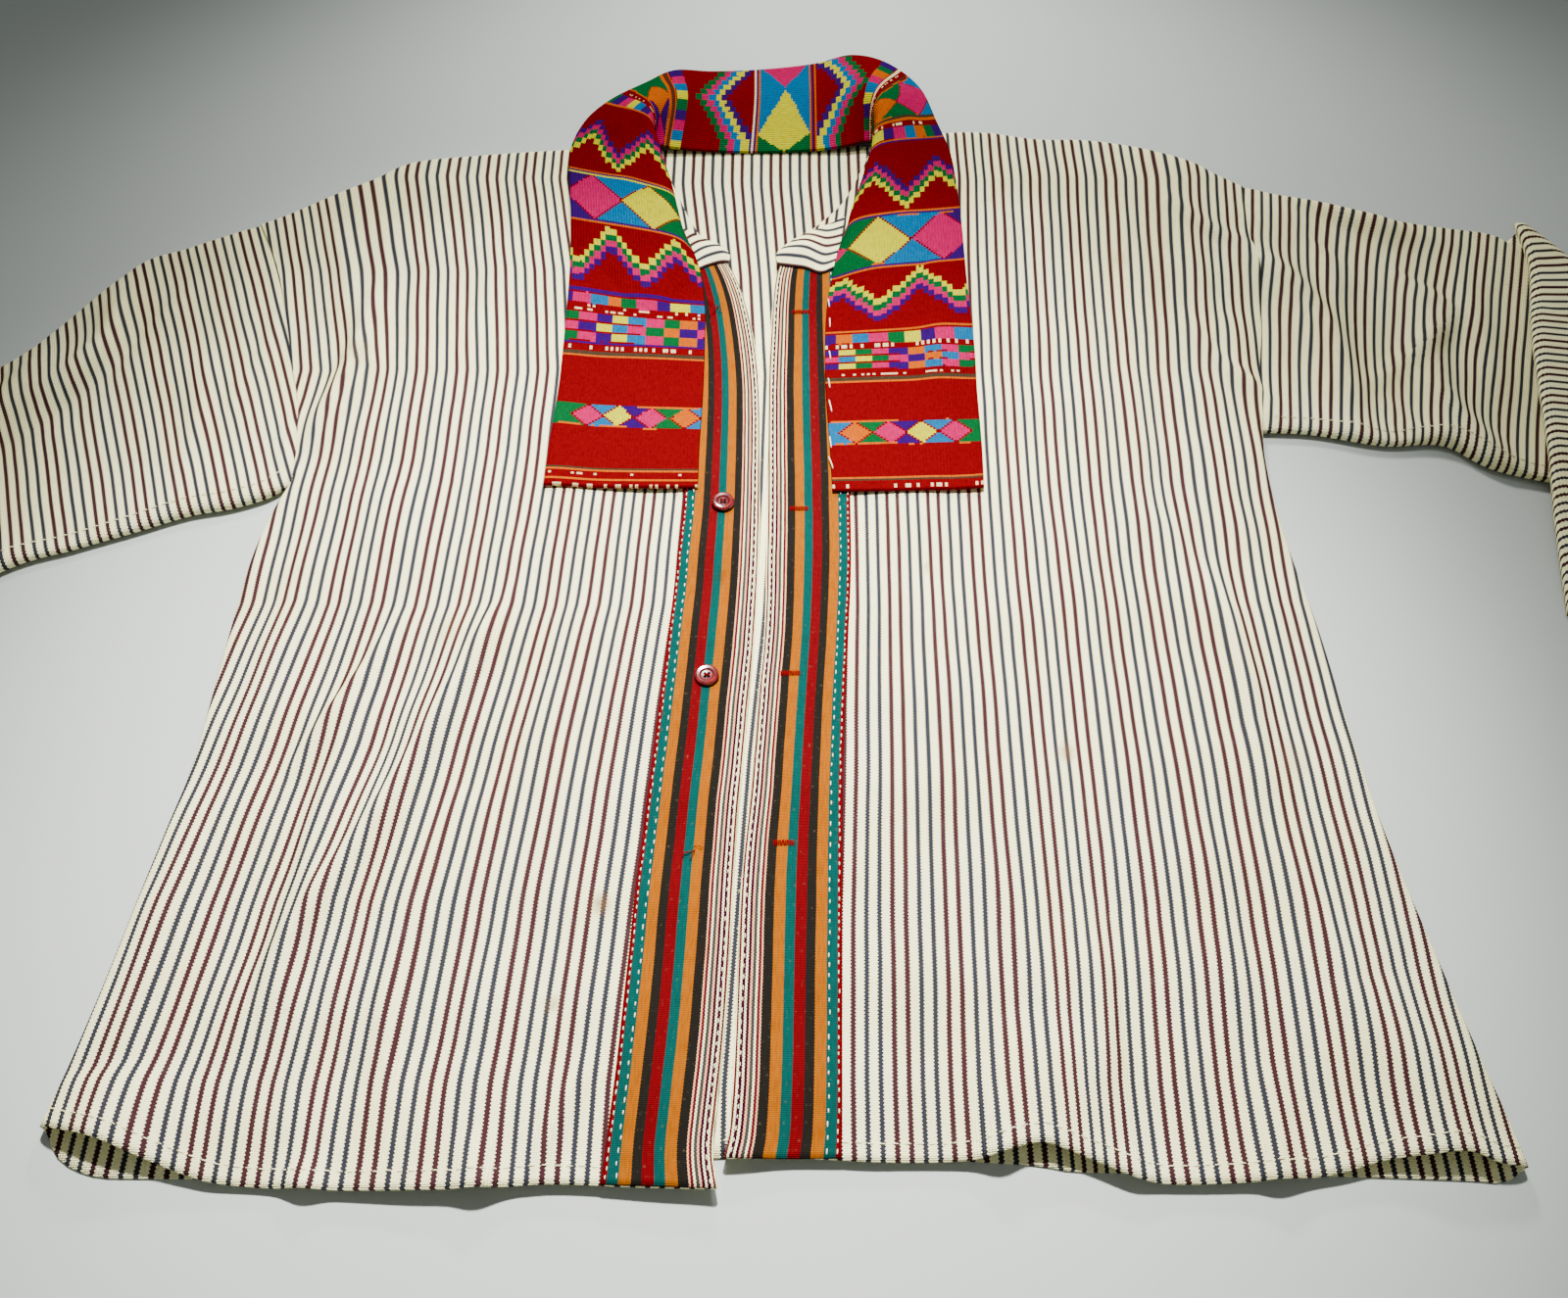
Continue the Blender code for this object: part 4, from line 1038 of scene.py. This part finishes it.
def build_front(name, hem, neck, shoulder, front_edge, side, armhole, look):
    """One front panel."""
    across = with_corners(fine_shares(330, 3.2, at_start=False), [NECK_CORNER])
    up = with_corners(fine_shares(720, 4.0, at_start=False), [UNDERARM_CORNER])
    top = along_parts([smooth_path(neck), smooth_path(shoulder)], [NECK_CORNER], across)
    outer = along_parts([smooth_path(side), smooth_path(armhole)], [UNDERARM_CORNER], up)
    plan = patch(along(smooth_path(hem), across), top, along(smooth_path(front_edge), up), outer,
                 across, up)
    if plan[0, -1, 0] < plan[0, 0, 0]:
        plan = plan[:, ::-1]
    rows, columns = plan.shape[:2]
    flat = plan.reshape(-1, 2)
    points = np.column_stack([flat, top_layer(flat) + hem_roll(flat, hem)])
    return shell(name + "_cloth", points, grid_faces(rows, columns), fan(flat, FRONT_MIDDLE),
                 look, name)


def build_back(look):
    """The back panel, flat on the surface."""
    across = with_corners(fine_shares(720, 7.0), BACK_NECK_CORNERS)
    up = with_corners(fine_shares(740, 8.0, at_start=False), [UNDERARM_CORNER])
    top = along_parts([smooth_path(RIGHT_SHOULDER)[::-1], smooth_path(BACK_NECK),
                       smooth_path(LEFT_SHOULDER)], BACK_NECK_CORNERS, across)
    left = along_parts([smooth_path(RIGHT_SIDE), smooth_path(RIGHT_ARMHOLE)],
                       [UNDERARM_CORNER], up)
    right = along_parts([smooth_path(LEFT_SIDE), smooth_path(LEFT_ARMHOLE)],
                        [UNDERARM_CORNER], up)
    plan = patch(along(smooth_path(BACK_HEM), across), top, left, right, across, up)
    rows, columns = plan.shape[:2]
    flat = plan.reshape(-1, 2)
    points = np.column_stack([flat, lower_height(flat)])
    return shell("back_cloth", points, grid_faces(rows, columns),
                 fan(flat, BACK_MIDDLE, FRONT_EDGE_PLACES), look, "back")


def ring_cloth(rings, down):
    """Cloth coordinates of a sleeve, per face corner: u down the arm, as given, and v round it."""
    grid = np.array(rings)
    closed = np.concatenate([grid, grid[:, :1]], axis=1)
    u = np.concatenate([down, down[:, :1]], axis=1)
    cloth = np.stack([u, way_along(closed, axis=1)], axis=-1)
    corners = [cloth[:-1, :-1], cloth[:-1, 1:], cloth[1:, 1:], cloth[1:, :-1]]
    return np.stack(corners, axis=2).reshape(-1, 2)


def sleeve(name, rings, look, down):
    """A sleeve shell from its rings."""
    rows, columns = len(rings), len(rings[0])
    return shell(name + "_cloth", np.vstack(rings), grid_faces(rows, columns, True),
                 ring_cloth(rings, down), look, name)


def fading(share, end):
    """1 at the start of a sleeve, falling to 0 at a share of its length."""
    return max(1 - share / end, 0)


def build_right_sleeve(look):
    """A flat-lying tube from the armhole to the plain cuff end."""
    stations = np.concatenate([np.linspace(0, 0.45, 60), np.linspace(0.45, 1, 45)[1:]])
    top = along(smooth_path(RIGHT_SLEEVE_TOP), stations)
    under = along(smooth_path(RIGHT_SLEEVE_UNDER), stations)
    step = (top[2] + under[2] - top[0] - under[0]) / 2
    nudge = 0.3 * SEAM * step / np.linalg.norm(step)
    across = fine_shares(240, 4.0)
    bow = armhole_bow(RIGHT_ARMHOLE, across)
    rings = []
    for share, a, b in zip(stations, top, under):
        near, tuck = fading(share, 0.1), fading(share, TUCK_SHARE)
        plan = ring_plan(a, b, across) + bow * near + nudge * (near - 6 * tuck)
        over = np.column_stack([plan, top_layer(plan) - TUCK_DEPTH * tuck])
        below = np.column_stack([plan, lower_height(plan)])[::-1]
        ring = np.vstack([over, below[1:-1]])
        ring[[0, len(over) - 1], 2] = SEAM_HEIGHT
        rings.append(ring)
    grid = np.array(rings)[:, :, :2]
    near = (grid[:, :, 0] + RIGHT_SLEEVE_LEAN * grid[:, :, 1]) / RIGHT_SLEEVE_PACK
    walked = way_along(grid.mean(axis=1))
    change = int(np.searchsorted(stations, 0.5))
    far = near[change].mean() - walked[:, None] + walked[change]
    share = np.clip((stations[:, None] - 0.38) / 0.3, 0, 1)
    down = near * (1 - share) + far * share + RIGHT_SLEEVE_START
    return sleeve("sleeve_right", rings, look, down)


def left_sleeve_down(points):
    """How far down the arm places on the unfolded left sleeve are: its stripes lean more there."""
    lean = np.interp(points[:, 0], *LEFT_SLEEVE_LEAN)
    near = points[:, 0] - lean * (points[:, 1] - LEFT_SLEEVE_LEVEL)
    return near / LEFT_SLEEVE_PACK + LEFT_SLEEVE_START


def build_left_sleeve(look):
    """A tube that runs out to the elbow, turns over its fold line and comes down on itself."""
    across = fine_shares(250, 4.0)
    pivot = CLOTH / 2 + FOLD_OUTER
    rings, down = [], []
    shares = np.linspace(0, 1, 56)[:-1]
    top = along(smooth_path(LEFT_SLEEVE_TOP), shares)
    under = along(smooth_path(LEFT_SLEEVE_UNDER), shares)
    bow = armhole_bow(LEFT_ARMHOLE, across)
    for share, a, b in zip(shares, top, under):
        near, tuck = fading(share, 0.25), fading(share, TUCK_SHARE)
        plan = ring_plan(a, b, across) + bow * near + np.array([0.3 * near - 1.8 * tuck, 0]) * SEAM
        near_fold = np.clip((share - 0.5) / 0.4, 0, 1)
        over = top_layer(plan) * (1 - near_fold) + (pivot - FOLD_INNER) * near_fold
        low = np.column_stack([plan, lower_height(plan)])
        high = np.column_stack([plan, over - TUCK_DEPTH * tuck])
        high[[0, -1], 2] = low[[0, -1], 2] = SEAM_HEIGHT
        rings.append(np.vstack([low, high[::-1][1:-1]]))
        down.append(left_sleeve_down(rings[-1]))
    start = np.array(LEFT_SLEEVE_TOP[-1], float)
    end = np.array(LEFT_SLEEVE_UNDER[-1], float)
    line = (end - start) / np.linalg.norm(end - start)
    outward = np.array([-line[1], line[0]])
    plan = ring_plan(start, end, across)
    for turn in np.linspace(0, math.pi, 17):
        lift, reach = -math.cos(turn), math.sin(turn)
        flat = flat_ring(plan, FOLD_OUTER, FOLD_INNER)
        radius = flat[:, 2]
        moved = flat[:, :2] + np.outer(radius * reach, outward)
        rings.append(np.column_stack([moved, pivot + radius * lift]))
        down.append(left_sleeve_down(flat + np.outer(radius * turn, [*outward, 0])))
    shares = np.linspace(0, 1, 70)[1:]
    leading = along(smooth_path(LEFT_CUFF_LEADING), shares)
    trailing = along(smooth_path(LEFT_CUFF_TRAILING), shares)
    for share, a, b in zip(shares, leading, trailing):
        plan = ring_plan(a, b, across)
        inner = np.interp(share, FOREARM_SHARES, FOREARM_HEIGHTS)
        rings.append(flat_ring(plan, inner + FOLD_OUTER - FOLD_INNER, inner))
        past_fold = (start - rings[-1][:, :2]) @ outward
        unfolded = rings[-1][:, :2] + np.outer(2 * past_fold + math.pi * radius, outward)
        down.append(left_sleeve_down(unfolded))
    return sleeve("sleeve_left", rings, look, np.array(down))


def build_band(name, front_edge, outer_edge, look):
    """A bright strip on a front's edge, its stripes running along it."""
    up = np.linspace(0, 1, 180)
    inner = along(smooth_path(front_edge), up * BAND_TOP_SHARE)
    outer = along(smooth_path(outer_edge), up)
    across = np.linspace(BAND_INSET, 1, 22)
    plan = inner[:, None] + across[None, :, None] * (outer - inner)[:, None]
    stripe = np.repeat((1 - across)[None] * 1000, len(up), axis=0)
    length = np.repeat((up * BAND_LENGTH)[:, None], len(across), axis=1)
    cloth = np.stack([stripe, length], axis=-1)
    if plan[0, -1, 0] < plan[0, 0, 0]:
        plan = plan[:, ::-1]
        cloth = cloth[:, ::-1]
    rows, columns = plan.shape[:2]
    flat = plan.reshape(-1, 2)
    height = top_layer(flat) + CLOTH / 2 + LAY + BAND_CLOTH / 2
    points = np.column_stack([flat, height])
    return shell(name + "_cloth", points, grid_faces(rows, columns), cloth.reshape(-1, 2), look,
                 name, BAND_CLOTH)


def loft(rows, across_count, along_count, clearance):
    """A fine grid through a strip's sections, with each row's way along it."""
    shares = np.linspace(0, 1, across_count)
    sections = np.array([arch(row, shares) for row in rows])
    places = np.linspace(0, 1, along_count)
    grid = np.stack([along(smooth_path(sections[:, column]), places)
                     for column in range(across_count)], axis=1)
    flat = grid.reshape(-1, 3)
    flat[:, 2] = np.maximum(flat[:, 2], on_front(flat[:, :2], clearance))
    return grid


def build_neckband(name, rows, clearance, look):
    """A turned-out neckline strip, its stripes along it."""
    grid = loft(rows, 24, 40, clearance)
    over = way_along(grid, axis=1)
    way = np.linspace(0, NECKBAND_LENGTH, len(grid))
    length = np.repeat(way[:, None], grid.shape[1], axis=1)
    cloth = np.stack([over * NECKBAND_PACK + NECKBAND_START, length], axis=-1)
    return shell(name + "_cloth", grid.reshape(-1, 3), grid_faces(*grid.shape[:2]),
                 cloth.reshape(-1, 2), look, name)


def block_dye(w, edge, dyes, widths):
    """The dye of a block row at w."""
    place = COLLAR_WIDTH - w if edge == "free" else w
    for dye, width in zip(dyes, widths):
        if place < width:
            return dye
        place -= width
    return dyes[-1]


def triangle_wave(w, peak, period):
    """1 at each peak and 0 half way between, in straight runs."""
    return abs(((w - peak) / period + 0.5) % 1 - 0.5) * 2


def chevron_dye(s, w):
    """The big chevrons on both sides of the centre panel, or nothing outside them."""
    rise = 566 - s if s > COLLAR_MIDDLE else s - 421
    block = math.floor(abs(w - 62) / CHEVRON_BLOCK + 0.5) * CHEVRON_BLOCK
    turn = 1 - min(block / 50, 1)
    depth = rise - 25 * (1 - turn)
    return "GPBYV"[int(depth / CHEVRON_LAYER)] if 0 <= depth < 5 * CHEVRON_LAYER else "R"


def centre_dye(s, w):
    """The panel at the middle of the back of the neck."""
    across = abs(s - COLLAR_MIDDLE)
    if w > 74 and across < 18 * (w - 74) / 30:
        return "P"
    if w < 18:
        return "Y" if across < 20 - (18 - w) * 1.1 else "G"
    return "Y" if across < 20 * (70 - w) / 52 else "B"


def dye_at(s, w):
    """The brocade's dye at a way along the collar and across it."""
    for low, high, edge, dyes, widths in BLOCKS:
        if low <= s < high:
            return block_dye(w, edge, dyes, widths)
    for low, high, edge, columns, widths in CHECKERS:
        if low <= s < high:
            column = block_dye(w, edge, columns, widths)
            third = (high - low) / 3
            if (s - low) % third < CHECKER_LINE:
                return "R"
            return column[min(int((s - low) / third), 2)]
    for low, high, peak, period, dyes, bow in ZIGZAGS:
        if low <= s < high:
            block = (math.floor(w / BLOCK) + 0.5) * BLOCK
            away = triangle_wave(block, peak, period)
            reach = high - low - 4 * LAYER
            depth = s - low - reach * ((1 - away) if bow > 0 else away)
            return dyes[int(depth / LAYER)] if 0 <= depth < 4 * LAYER else "R"
    for low, high, half_width, half_height, centres, ground in DIAMONDS:
        if low <= s < high:
            middle = (low + high) / 2
            if min(s - low, high - s) < DIAMOND_EDGE:
                return "O"
            for w0, dye in centres:
                reach = abs(w - w0) / half_width + abs(s - middle) / half_height
                if reach < 1:
                    return dye
                if reach < 1 + DIAMOND_RIM / half_width:
                    return "R"
            for end, dye in ground:
                if w < end:
                    return dye
    if 421 <= s < 470 or 520 <= s < 566:
        return chevron_dye(s, w)
    if 474 <= s < 514:
        return centre_dye(s, w)
    return "R"


def build_collar(look):
    """The collar band, one face for each small group of threads."""
    spans = 26
    across_count = 54
    shares = np.linspace(0, 1, across_count + 1)
    sections = np.array([arch(row, shares) for row in COLLAR])
    grid = np.stack([smooth_path(sections[:, column], spans)
                     for column in range(across_count + 1)], axis=1)
    flat = grid.reshape(-1, 3)
    flat[:, 2] = np.maximum(flat[:, 2], on_front(flat[:, :2], OVER_STRIP + BROCADE / 2 + 0.1))
    for x, y, radius, height in COLLAR_BUCKLES:
        gap = np.hypot(flat[:, 0] - x, flat[:, 1] - y) / radius
        flat[:, 2] += height * np.exp(-gap ** 2)
    rows, columns = grid.shape[:2]
    run = np.interp(np.arange(rows) / spans, np.arange(len(COLLAR_RUN)), COLLAR_RUN)
    s = np.repeat(run[:, None], columns, axis=1)
    w = np.repeat((shares * COLLAR_WIDTH)[None], rows, axis=0)
    obj = shell("collar_cloth", flat, grid_faces(rows, columns),
                np.stack([w, s], axis=-1).reshape(-1, 2), look, "collar", BROCADE)
    wobble = np.random.default_rng(11)
    jog = np.cumsum(wobble.normal(0, COLUMN_JOG, columns - 1))
    jog -= np.linspace(jog[0], jog[-1], columns - 1)
    colours = np.ones((rows - 1, columns - 1, 4))
    raised = np.ones((rows - 1, columns - 1))
    for i in range(rows - 1):
        middle_s = (run[i] + run[i + 1]) / 2
        for j in range(columns - 1):
            middle_w = (shares[j] + shares[j + 1]) / 2 * COLLAR_WIDTH
            dye = dye_at(middle_s + jog[j], middle_w)
            colours[i, j, :3] = DYES[dye]
            raised[i, j] = dye != "R"
    for low, high, dye in CROSS_LINES + [(*row, "W") for row in FLECKS]:
        first = min(max(np.searchsorted(run, (low + high) / 2) - 1, 0), rows - 2)
        last = max(first + 1, np.searchsorted(run, high - 0.4))
        colours[first:last, :, :3] = DYES[dye]
        raised[first:last] = 0.5
    for low, high in FLECKS:
        first = np.searchsorted(run, (low + high) / 2) - 1
        gaps = wobble.random(columns - 1) < FLECK_GAPS
        colours[first:first + 2, gaps, :3] = DYES["R"]
    tone = wobble.normal(1, TONE_SPREAD, (rows - 1, columns - 1, 1))
    colours[:, :, :3] = np.clip(colours[:, :, :3] * tone, 0, 1)
    mesh = obj.data
    dye = mesh.attributes.new("dye", "FLOAT_COLOR", "CORNER")
    dye.data.foreach_set("color", np.repeat(colours.reshape(-1, 4), 4, axis=0).ravel())
    high = mesh.attributes.new("raised", "FLOAT", "CORNER")
    high.data.foreach_set("value", np.repeat(raised.ravel(), 4))
    return obj


def directions(path):
    """The unit direction of a path at each of its points."""
    ahead = np.gradient(path, axis=0)
    return ahead / np.maximum(np.linalg.norm(ahead, axis=1, keepdims=True), 1e-9)


def tube_points(path, radius, sides):
    """Rings of a thin round thread along a path."""
    path = np.asarray(path, float)
    ahead = directions(path)
    side = np.cross(ahead, (0.05, 0.03, 1.0))
    side /= np.linalg.norm(side, axis=1, keepdims=True)
    up = np.cross(side, ahead)
    turn = np.arange(sides) / sides * 2 * math.pi
    ends = np.ones(len(path))
    ends[[0, -1]] = 0.45
    return (path[:, None] + radius * ends[:, None, None]
            * (np.cos(turn)[None, :, None] * side[:, None]
               + np.sin(turn)[None, :, None] * up[:, None]))


def threads(name, paths, look, sides=6):
    """Many thin threads as one object, with closed ends."""
    points, faces, start = [], [], 0
    for path in paths:
        rings = tube_points(path, THREAD_RADIUS[name], sides)
        rows = len(rings)
        points.append(rings.reshape(-1, 3))
        faces += [[corner + start for corner in face]
                  for face in grid_faces(rows, sides, True)]
        faces.append([start + k for k in reversed(range(sides))])
        faces.append([start + (rows - 1) * sides + k for k in range(sides)])
        start += rows * sides
    obj = make_mesh(name, np.vstack(points), faces)
    return finish_piece(obj, look, None)


def running_stitches(path, stitch, gap, height_at, seed, jitter):
    """Short arched stitches along a path on the cloth."""
    chance = np.random.default_rng(seed)
    steps = np.linalg.norm(np.diff(path, axis=0), axis=1)
    total = steps.sum()
    out = []
    place = chance.uniform(0, gap)
    while place + stitch < total:
        length = stitch * chance.uniform(0.8, 1.2)
        spots = np.linspace(place, min(place + length, total), 5) / total
        plan = along(path, spots)[:, :2] + chance.normal(0, jitter, 2)
        out.append(np.column_stack([plan, height_at(plan) + STITCH_ARCH]))
        place += length + gap * chance.uniform(0.8, 1.25)
    return out


def inset(path, distance):
    """A path moved sideways, to its left."""
    ahead = directions(path)
    return path + distance * np.column_stack([-ahead[:, 1], ahead[:, 0]])


def inset_towards(path, distance, place):
    """A path moved sideways, to the side on which a place lies."""
    sides = inset(path, distance), inset(path, -distance)
    return min(sides, key=lambda side: np.linalg.norm(side[60] - place))


def collar_tree():
    """A tree of points on the collar's outer face, and their heights."""
    grid = np.array([arch(row, np.linspace(0, 1, 40)) for row in COLLAR])
    fine = np.stack([smooth_path(grid[:, column], 12) for column in range(40)], axis=1)
    flat = fine.reshape(-1, 3)
    flat[:, 2] = np.maximum(flat[:, 2], on_front(flat[:, :2], OVER_STRIP + BROCADE / 2))
    tree = KDTree(len(flat))
    for number, (x, y, _) in enumerate(flat):
        tree.insert((x, y, 0), number)
    tree.balance()
    return tree, flat[:, 2]


COLLAR_TREE, COLLAR_HEIGHTS = collar_tree()


def on_collar(points):
    """The height of the collar's outer face over plan points."""
    out = []
    for x, y in points:
        near = COLLAR_TREE.find_n((x, y, 0), 4)
        weight = np.array([1 / (gap + 0.5) ** 2 for _, _, gap in near])
        out.append(weight @ COLLAR_HEIGHTS[[number for _, number, _ in near]] / weight.sum())
    return np.array(out) + BROCADE / 2 + 0.15


def on_panel(points):
    """The outer face of a front or of the sleeves' upper layer."""
    return top_layer(points) + CLOTH / 2


def on_hem(points):
    """The outer face of a turned-up hem."""
    return on_panel(points) + 0.4


def on_band(points):
    """The outer face of a bright strip."""
    return top_layer(points) + CLOTH / 2 + LAY + BAND_CLOTH


def between(low, high, share):
    """A path part of the way from one path to another."""
    shares = np.linspace(0, 1, 160)
    a = along(smooth_path(low), shares * BAND_TOP_SHARE)
    b = along(smooth_path(high), shares)
    return a + share * (b - a)


def add_stitches(cream_thread, white_thread, red_thread):
    """The sewing that shows: hems, strips, collar lapel, buttonholes and loose ends."""
    paths = []
    for hem, depth in ((RIGHT_HEM, -HEM_DEPTH), (LEFT_HEM, HEM_DEPTH)):
        line = inset(smooth_path(hem), depth)
        paths += running_stitches(line, 3.6, 2.4, on_hem, seed=3, jitter=0.15)
    for under, top, seed in ((RIGHT_SLEEVE_UNDER, RIGHT_SLEEVE_TOP, 5),
                             (LEFT_SLEEVE_UNDER[:6], LEFT_SLEEVE_TOP, 6)):
        line = inset_towards(smooth_path(under), HEM_DEPTH, smooth_path(top)[20])
        paths += running_stitches(line, 3.2, 3.0, on_hem, seed, jitter=0.15)
    threads("hem_stitches", paths, cream_thread)

    strip = []
    for edge, outer, seed in ((RIGHT_FRONT_EDGE, RIGHT_BAND_OUTER, 21),
                              (LEFT_FRONT_EDGE, LEFT_BAND_OUTER, 22)):
        for share, stitch, gap in ((0.965, 2.6, 2.2), (0.875, 3.0, 3.4), (0.06, 2.6, 3.0)):
            strip += running_stitches(between(edge, outer, share), stitch, gap, on_band,
                                      seed + int(share * 100), 0.2)
    threads("strip_stitches", strip, white_thread)

    lapel = []
    for first, last in LAPEL_STITCHES:
        plan = np.linspace(first, last, 6)
        lapel.append(np.column_stack([plan, on_collar(plan) + LAPEL_ARCH]))
    threads("lapel_stitches", lapel, white_thread)

    bars = []
    chance = np.random.default_rng(31)
    for x, y in BUTTONHOLES:
        for k in range(-6, 7):
            middle = np.array([x + k * 0.95, y])
            plan = middle + np.outer([-1, -0.5, 0, 0.5, 1], [chance.uniform(-0.2, 0.2), 2.3])
            height = on_band(middle[None])[0]
            bars.append(np.column_stack([plan, height + BUTTONHOLE_ARCH]))
    threads("buttonhole_stitches", bars, red_thread)

    loose = []
    for x, y in THREAD_ENDS:
        for k in range(4):
            turn = chance.uniform(0, 6.28)
            steps = np.linspace(0, 1, 8)
            reach = chance.uniform(5, 11)
            plan = np.array([x, y]) + np.column_stack([
                steps * reach * math.cos(turn) + 1.3 * np.sin(steps * 5 + k),
                steps * reach * math.sin(turn) + 1.3 * np.cos(steps * 4 + k)])
            height = on_band(plan) + 0.5 + 1.6 * np.sin(steps * math.pi)
            height[0] -= 0.9
            loose.append(np.column_stack([plan, height]))
    threads("loose_button_threads", loose, red_thread)


def add_frays(cream_thread, red_thread):
    """Short ends along the raw inner edges and the collar's cut ends."""
    chance = np.random.default_rng(41)
    ends = []
    for edge, side in ((RIGHT_FRONT_EDGE, 1), (LEFT_FRONT_EDGE, -1)):
        path = smooth_path(edge)
        for share in chance.uniform(0.03, 0.95, 60):
            base = along(path, [share])[0]
            reach = chance.uniform(0.8, 2.6)
            steps = np.linspace(0, 1, 4)
            plan = base + np.column_stack([side * (steps * reach - 0.8),
                                           steps * chance.uniform(-1.5, 1.5)])
            height = on_panel(base[None])[0] - 0.4 - steps * reach * chance.uniform(0.1, 0.6)
            ends.append(np.column_stack([plan, height]))
    threads("frayed_edge_threads", ends, cream_thread, 4)
    collar_ends = []
    for x0, x1, y in COLLAR_ENDS:
        for x in np.arange(x0, x1, COLLAR_END_STEP):
            reach = chance.uniform(1.0, 3.2)
            steps = np.linspace(0, 1, 4)
            plan = np.column_stack([x + steps * chance.uniform(-1, 1), y + 0.8 - steps * reach])
            height = on_collar(np.array([[x, y + 1.5]]))[0] - 1.0 - 0.5 * steps
            collar_ends.append(np.column_stack([plan, height]))
    threads("collar_end_threads", collar_ends, red_thread, 4)


def add_button_threads(red_thread):
    """Thread through the two holes of each button and down to the strip."""
    paths = []
    for node in ("button_upper", "button_lower"):
        low, high = (np.array(corner) * 1000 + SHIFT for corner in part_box(node))
        x, y = (low[:2] + high[:2]) / 2
        top = high[2]
        for side in (-0.35, 0.0, 0.35):
            steps = np.linspace(-1, 1, 9)
            height = top - 0.9 + 0.65 * np.sqrt(np.clip(1 - (steps * 0.99) ** 2, 0, 1))
            plan = np.column_stack([x + steps * 1.55, np.full(9, y + side)])
            paths.append(np.column_stack([plan, height]))
    threads("button_threads", paths, red_thread)


def soft_spot(name, place, target, cone, radius, power, colour):
    """A spotlight that fades all the way to its rim, aimed at a place, both in metres."""
    data = bpy.data.lights.new(name, "SPOT")
    data.spot_size = cone
    data.spot_blend = 1.0
    data.shadow_soft_size = radius
    data.energy = power
    data.color = colour
    lamp = add_object(name, data)
    lamp.location = place
    aim = np.array(target, float) - np.array(place, float)
    lamp.rotation_euler = (math.atan2(math.hypot(aim[0], aim[1]), -aim[2]), 0,
                           math.atan2(aim[1], aim[0]) - math.pi / 2)


def build_floor():
    """The pale surface, with a faint unevenness."""
    made, shader, graph = new_material("pale_floor", 0.55)
    cloudy = graph.step(graph.noise(graph.place(), 3.0, 3), 0.3, 0.7)
    graph.put(graph.mix(cloudy, *FLOOR_TONES), shader.inputs["Base Color"])
    mesh = bpy.data.meshes.new("floor")
    mesh.from_pydata([(-4, -4, 0), (4, -4, 0), (4, 4, 0), (-4, 4, 0)], [], [(0, 1, 2, 3)])
    mesh.update()
    mesh.materials.append(made)
    add_object("floor", mesh)


def build_camera():
    """The photograph's view."""
    data = bpy.data.cameras.new("photo")
    data.lens = CAMERA_LENS
    data.sensor_width = 36
    data.clip_start = 0.01
    camera = add_object("photo", data)
    camera.location = CAMERA_PLACE
    camera.rotation_euler = (math.radians(CAMERA_TILT), 0, 0)
    bpy.context.scene.camera = camera


def build_world():
    """Soft, slightly cool light from all round."""
    world = bpy.data.worlds.new("room")
    world.use_nodes = True
    background = world.node_tree.nodes["Background"]
    socket(background, "Color", ROOM_COLOUR)
    socket(background, "Strength", ROOM_LIGHT)
    bpy.context.scene.world = world


cotton = striped_cotton()
strip_look = bright_strip()
collar_look = brocade()
cream_thread = plain_thread("cream_thread", (0.85, 0.8, 0.5))
white_thread = plain_thread("white_thread", (0.75, 0.68, 0.5))
red_thread = plain_thread("red_thread", (0.12, 0.0004, 0.0012))

pieces = {
    "back": build_back(cotton),
    "front_right": build_front("front_right", RIGHT_HEM, RIGHT_NECK, RIGHT_SHOULDER,
                               RIGHT_FRONT_EDGE, RIGHT_SIDE, RIGHT_ARMHOLE, cotton),
    "front_left": build_front("front_left", LEFT_HEM, LEFT_NECK, LEFT_SHOULDER,
                              LEFT_FRONT_EDGE, LEFT_SIDE, LEFT_ARMHOLE, cotton),
    "sleeve_right": build_right_sleeve(cotton),
    "sleeve_left": build_left_sleeve(cotton),
    "band_right": build_band("band_right", RIGHT_FRONT_EDGE, RIGHT_BAND_OUTER, strip_look),
    "band_left": build_band("band_left", LEFT_FRONT_EDGE, LEFT_BAND_OUTER, strip_look),
    "neckband_right": build_neckband("neckband_right", RIGHT_NECKBAND,
                                     OVER_STRIP + CLOTH / 2, cotton),
    "neckband_left": build_neckband("neckband_left", LEFT_NECKBAND,
                                    OVER_STRIP + CLOTH / 2, cotton),
    "collar": build_collar(collar_look),
}
add_stitches(cream_thread, white_thread, red_thread)
add_frays(cream_thread, red_thread)
add_button_threads(red_thread)

button_look = button_material()
for node in ("button_upper", "button_lower"):
    button = bpy.data.objects[node]
    button.data.materials.clear()
    button.data.materials.append(button_look)

build_floor()
build_world()
for lamp in LAMPS:
    soft_spot(*lamp)
build_camera()
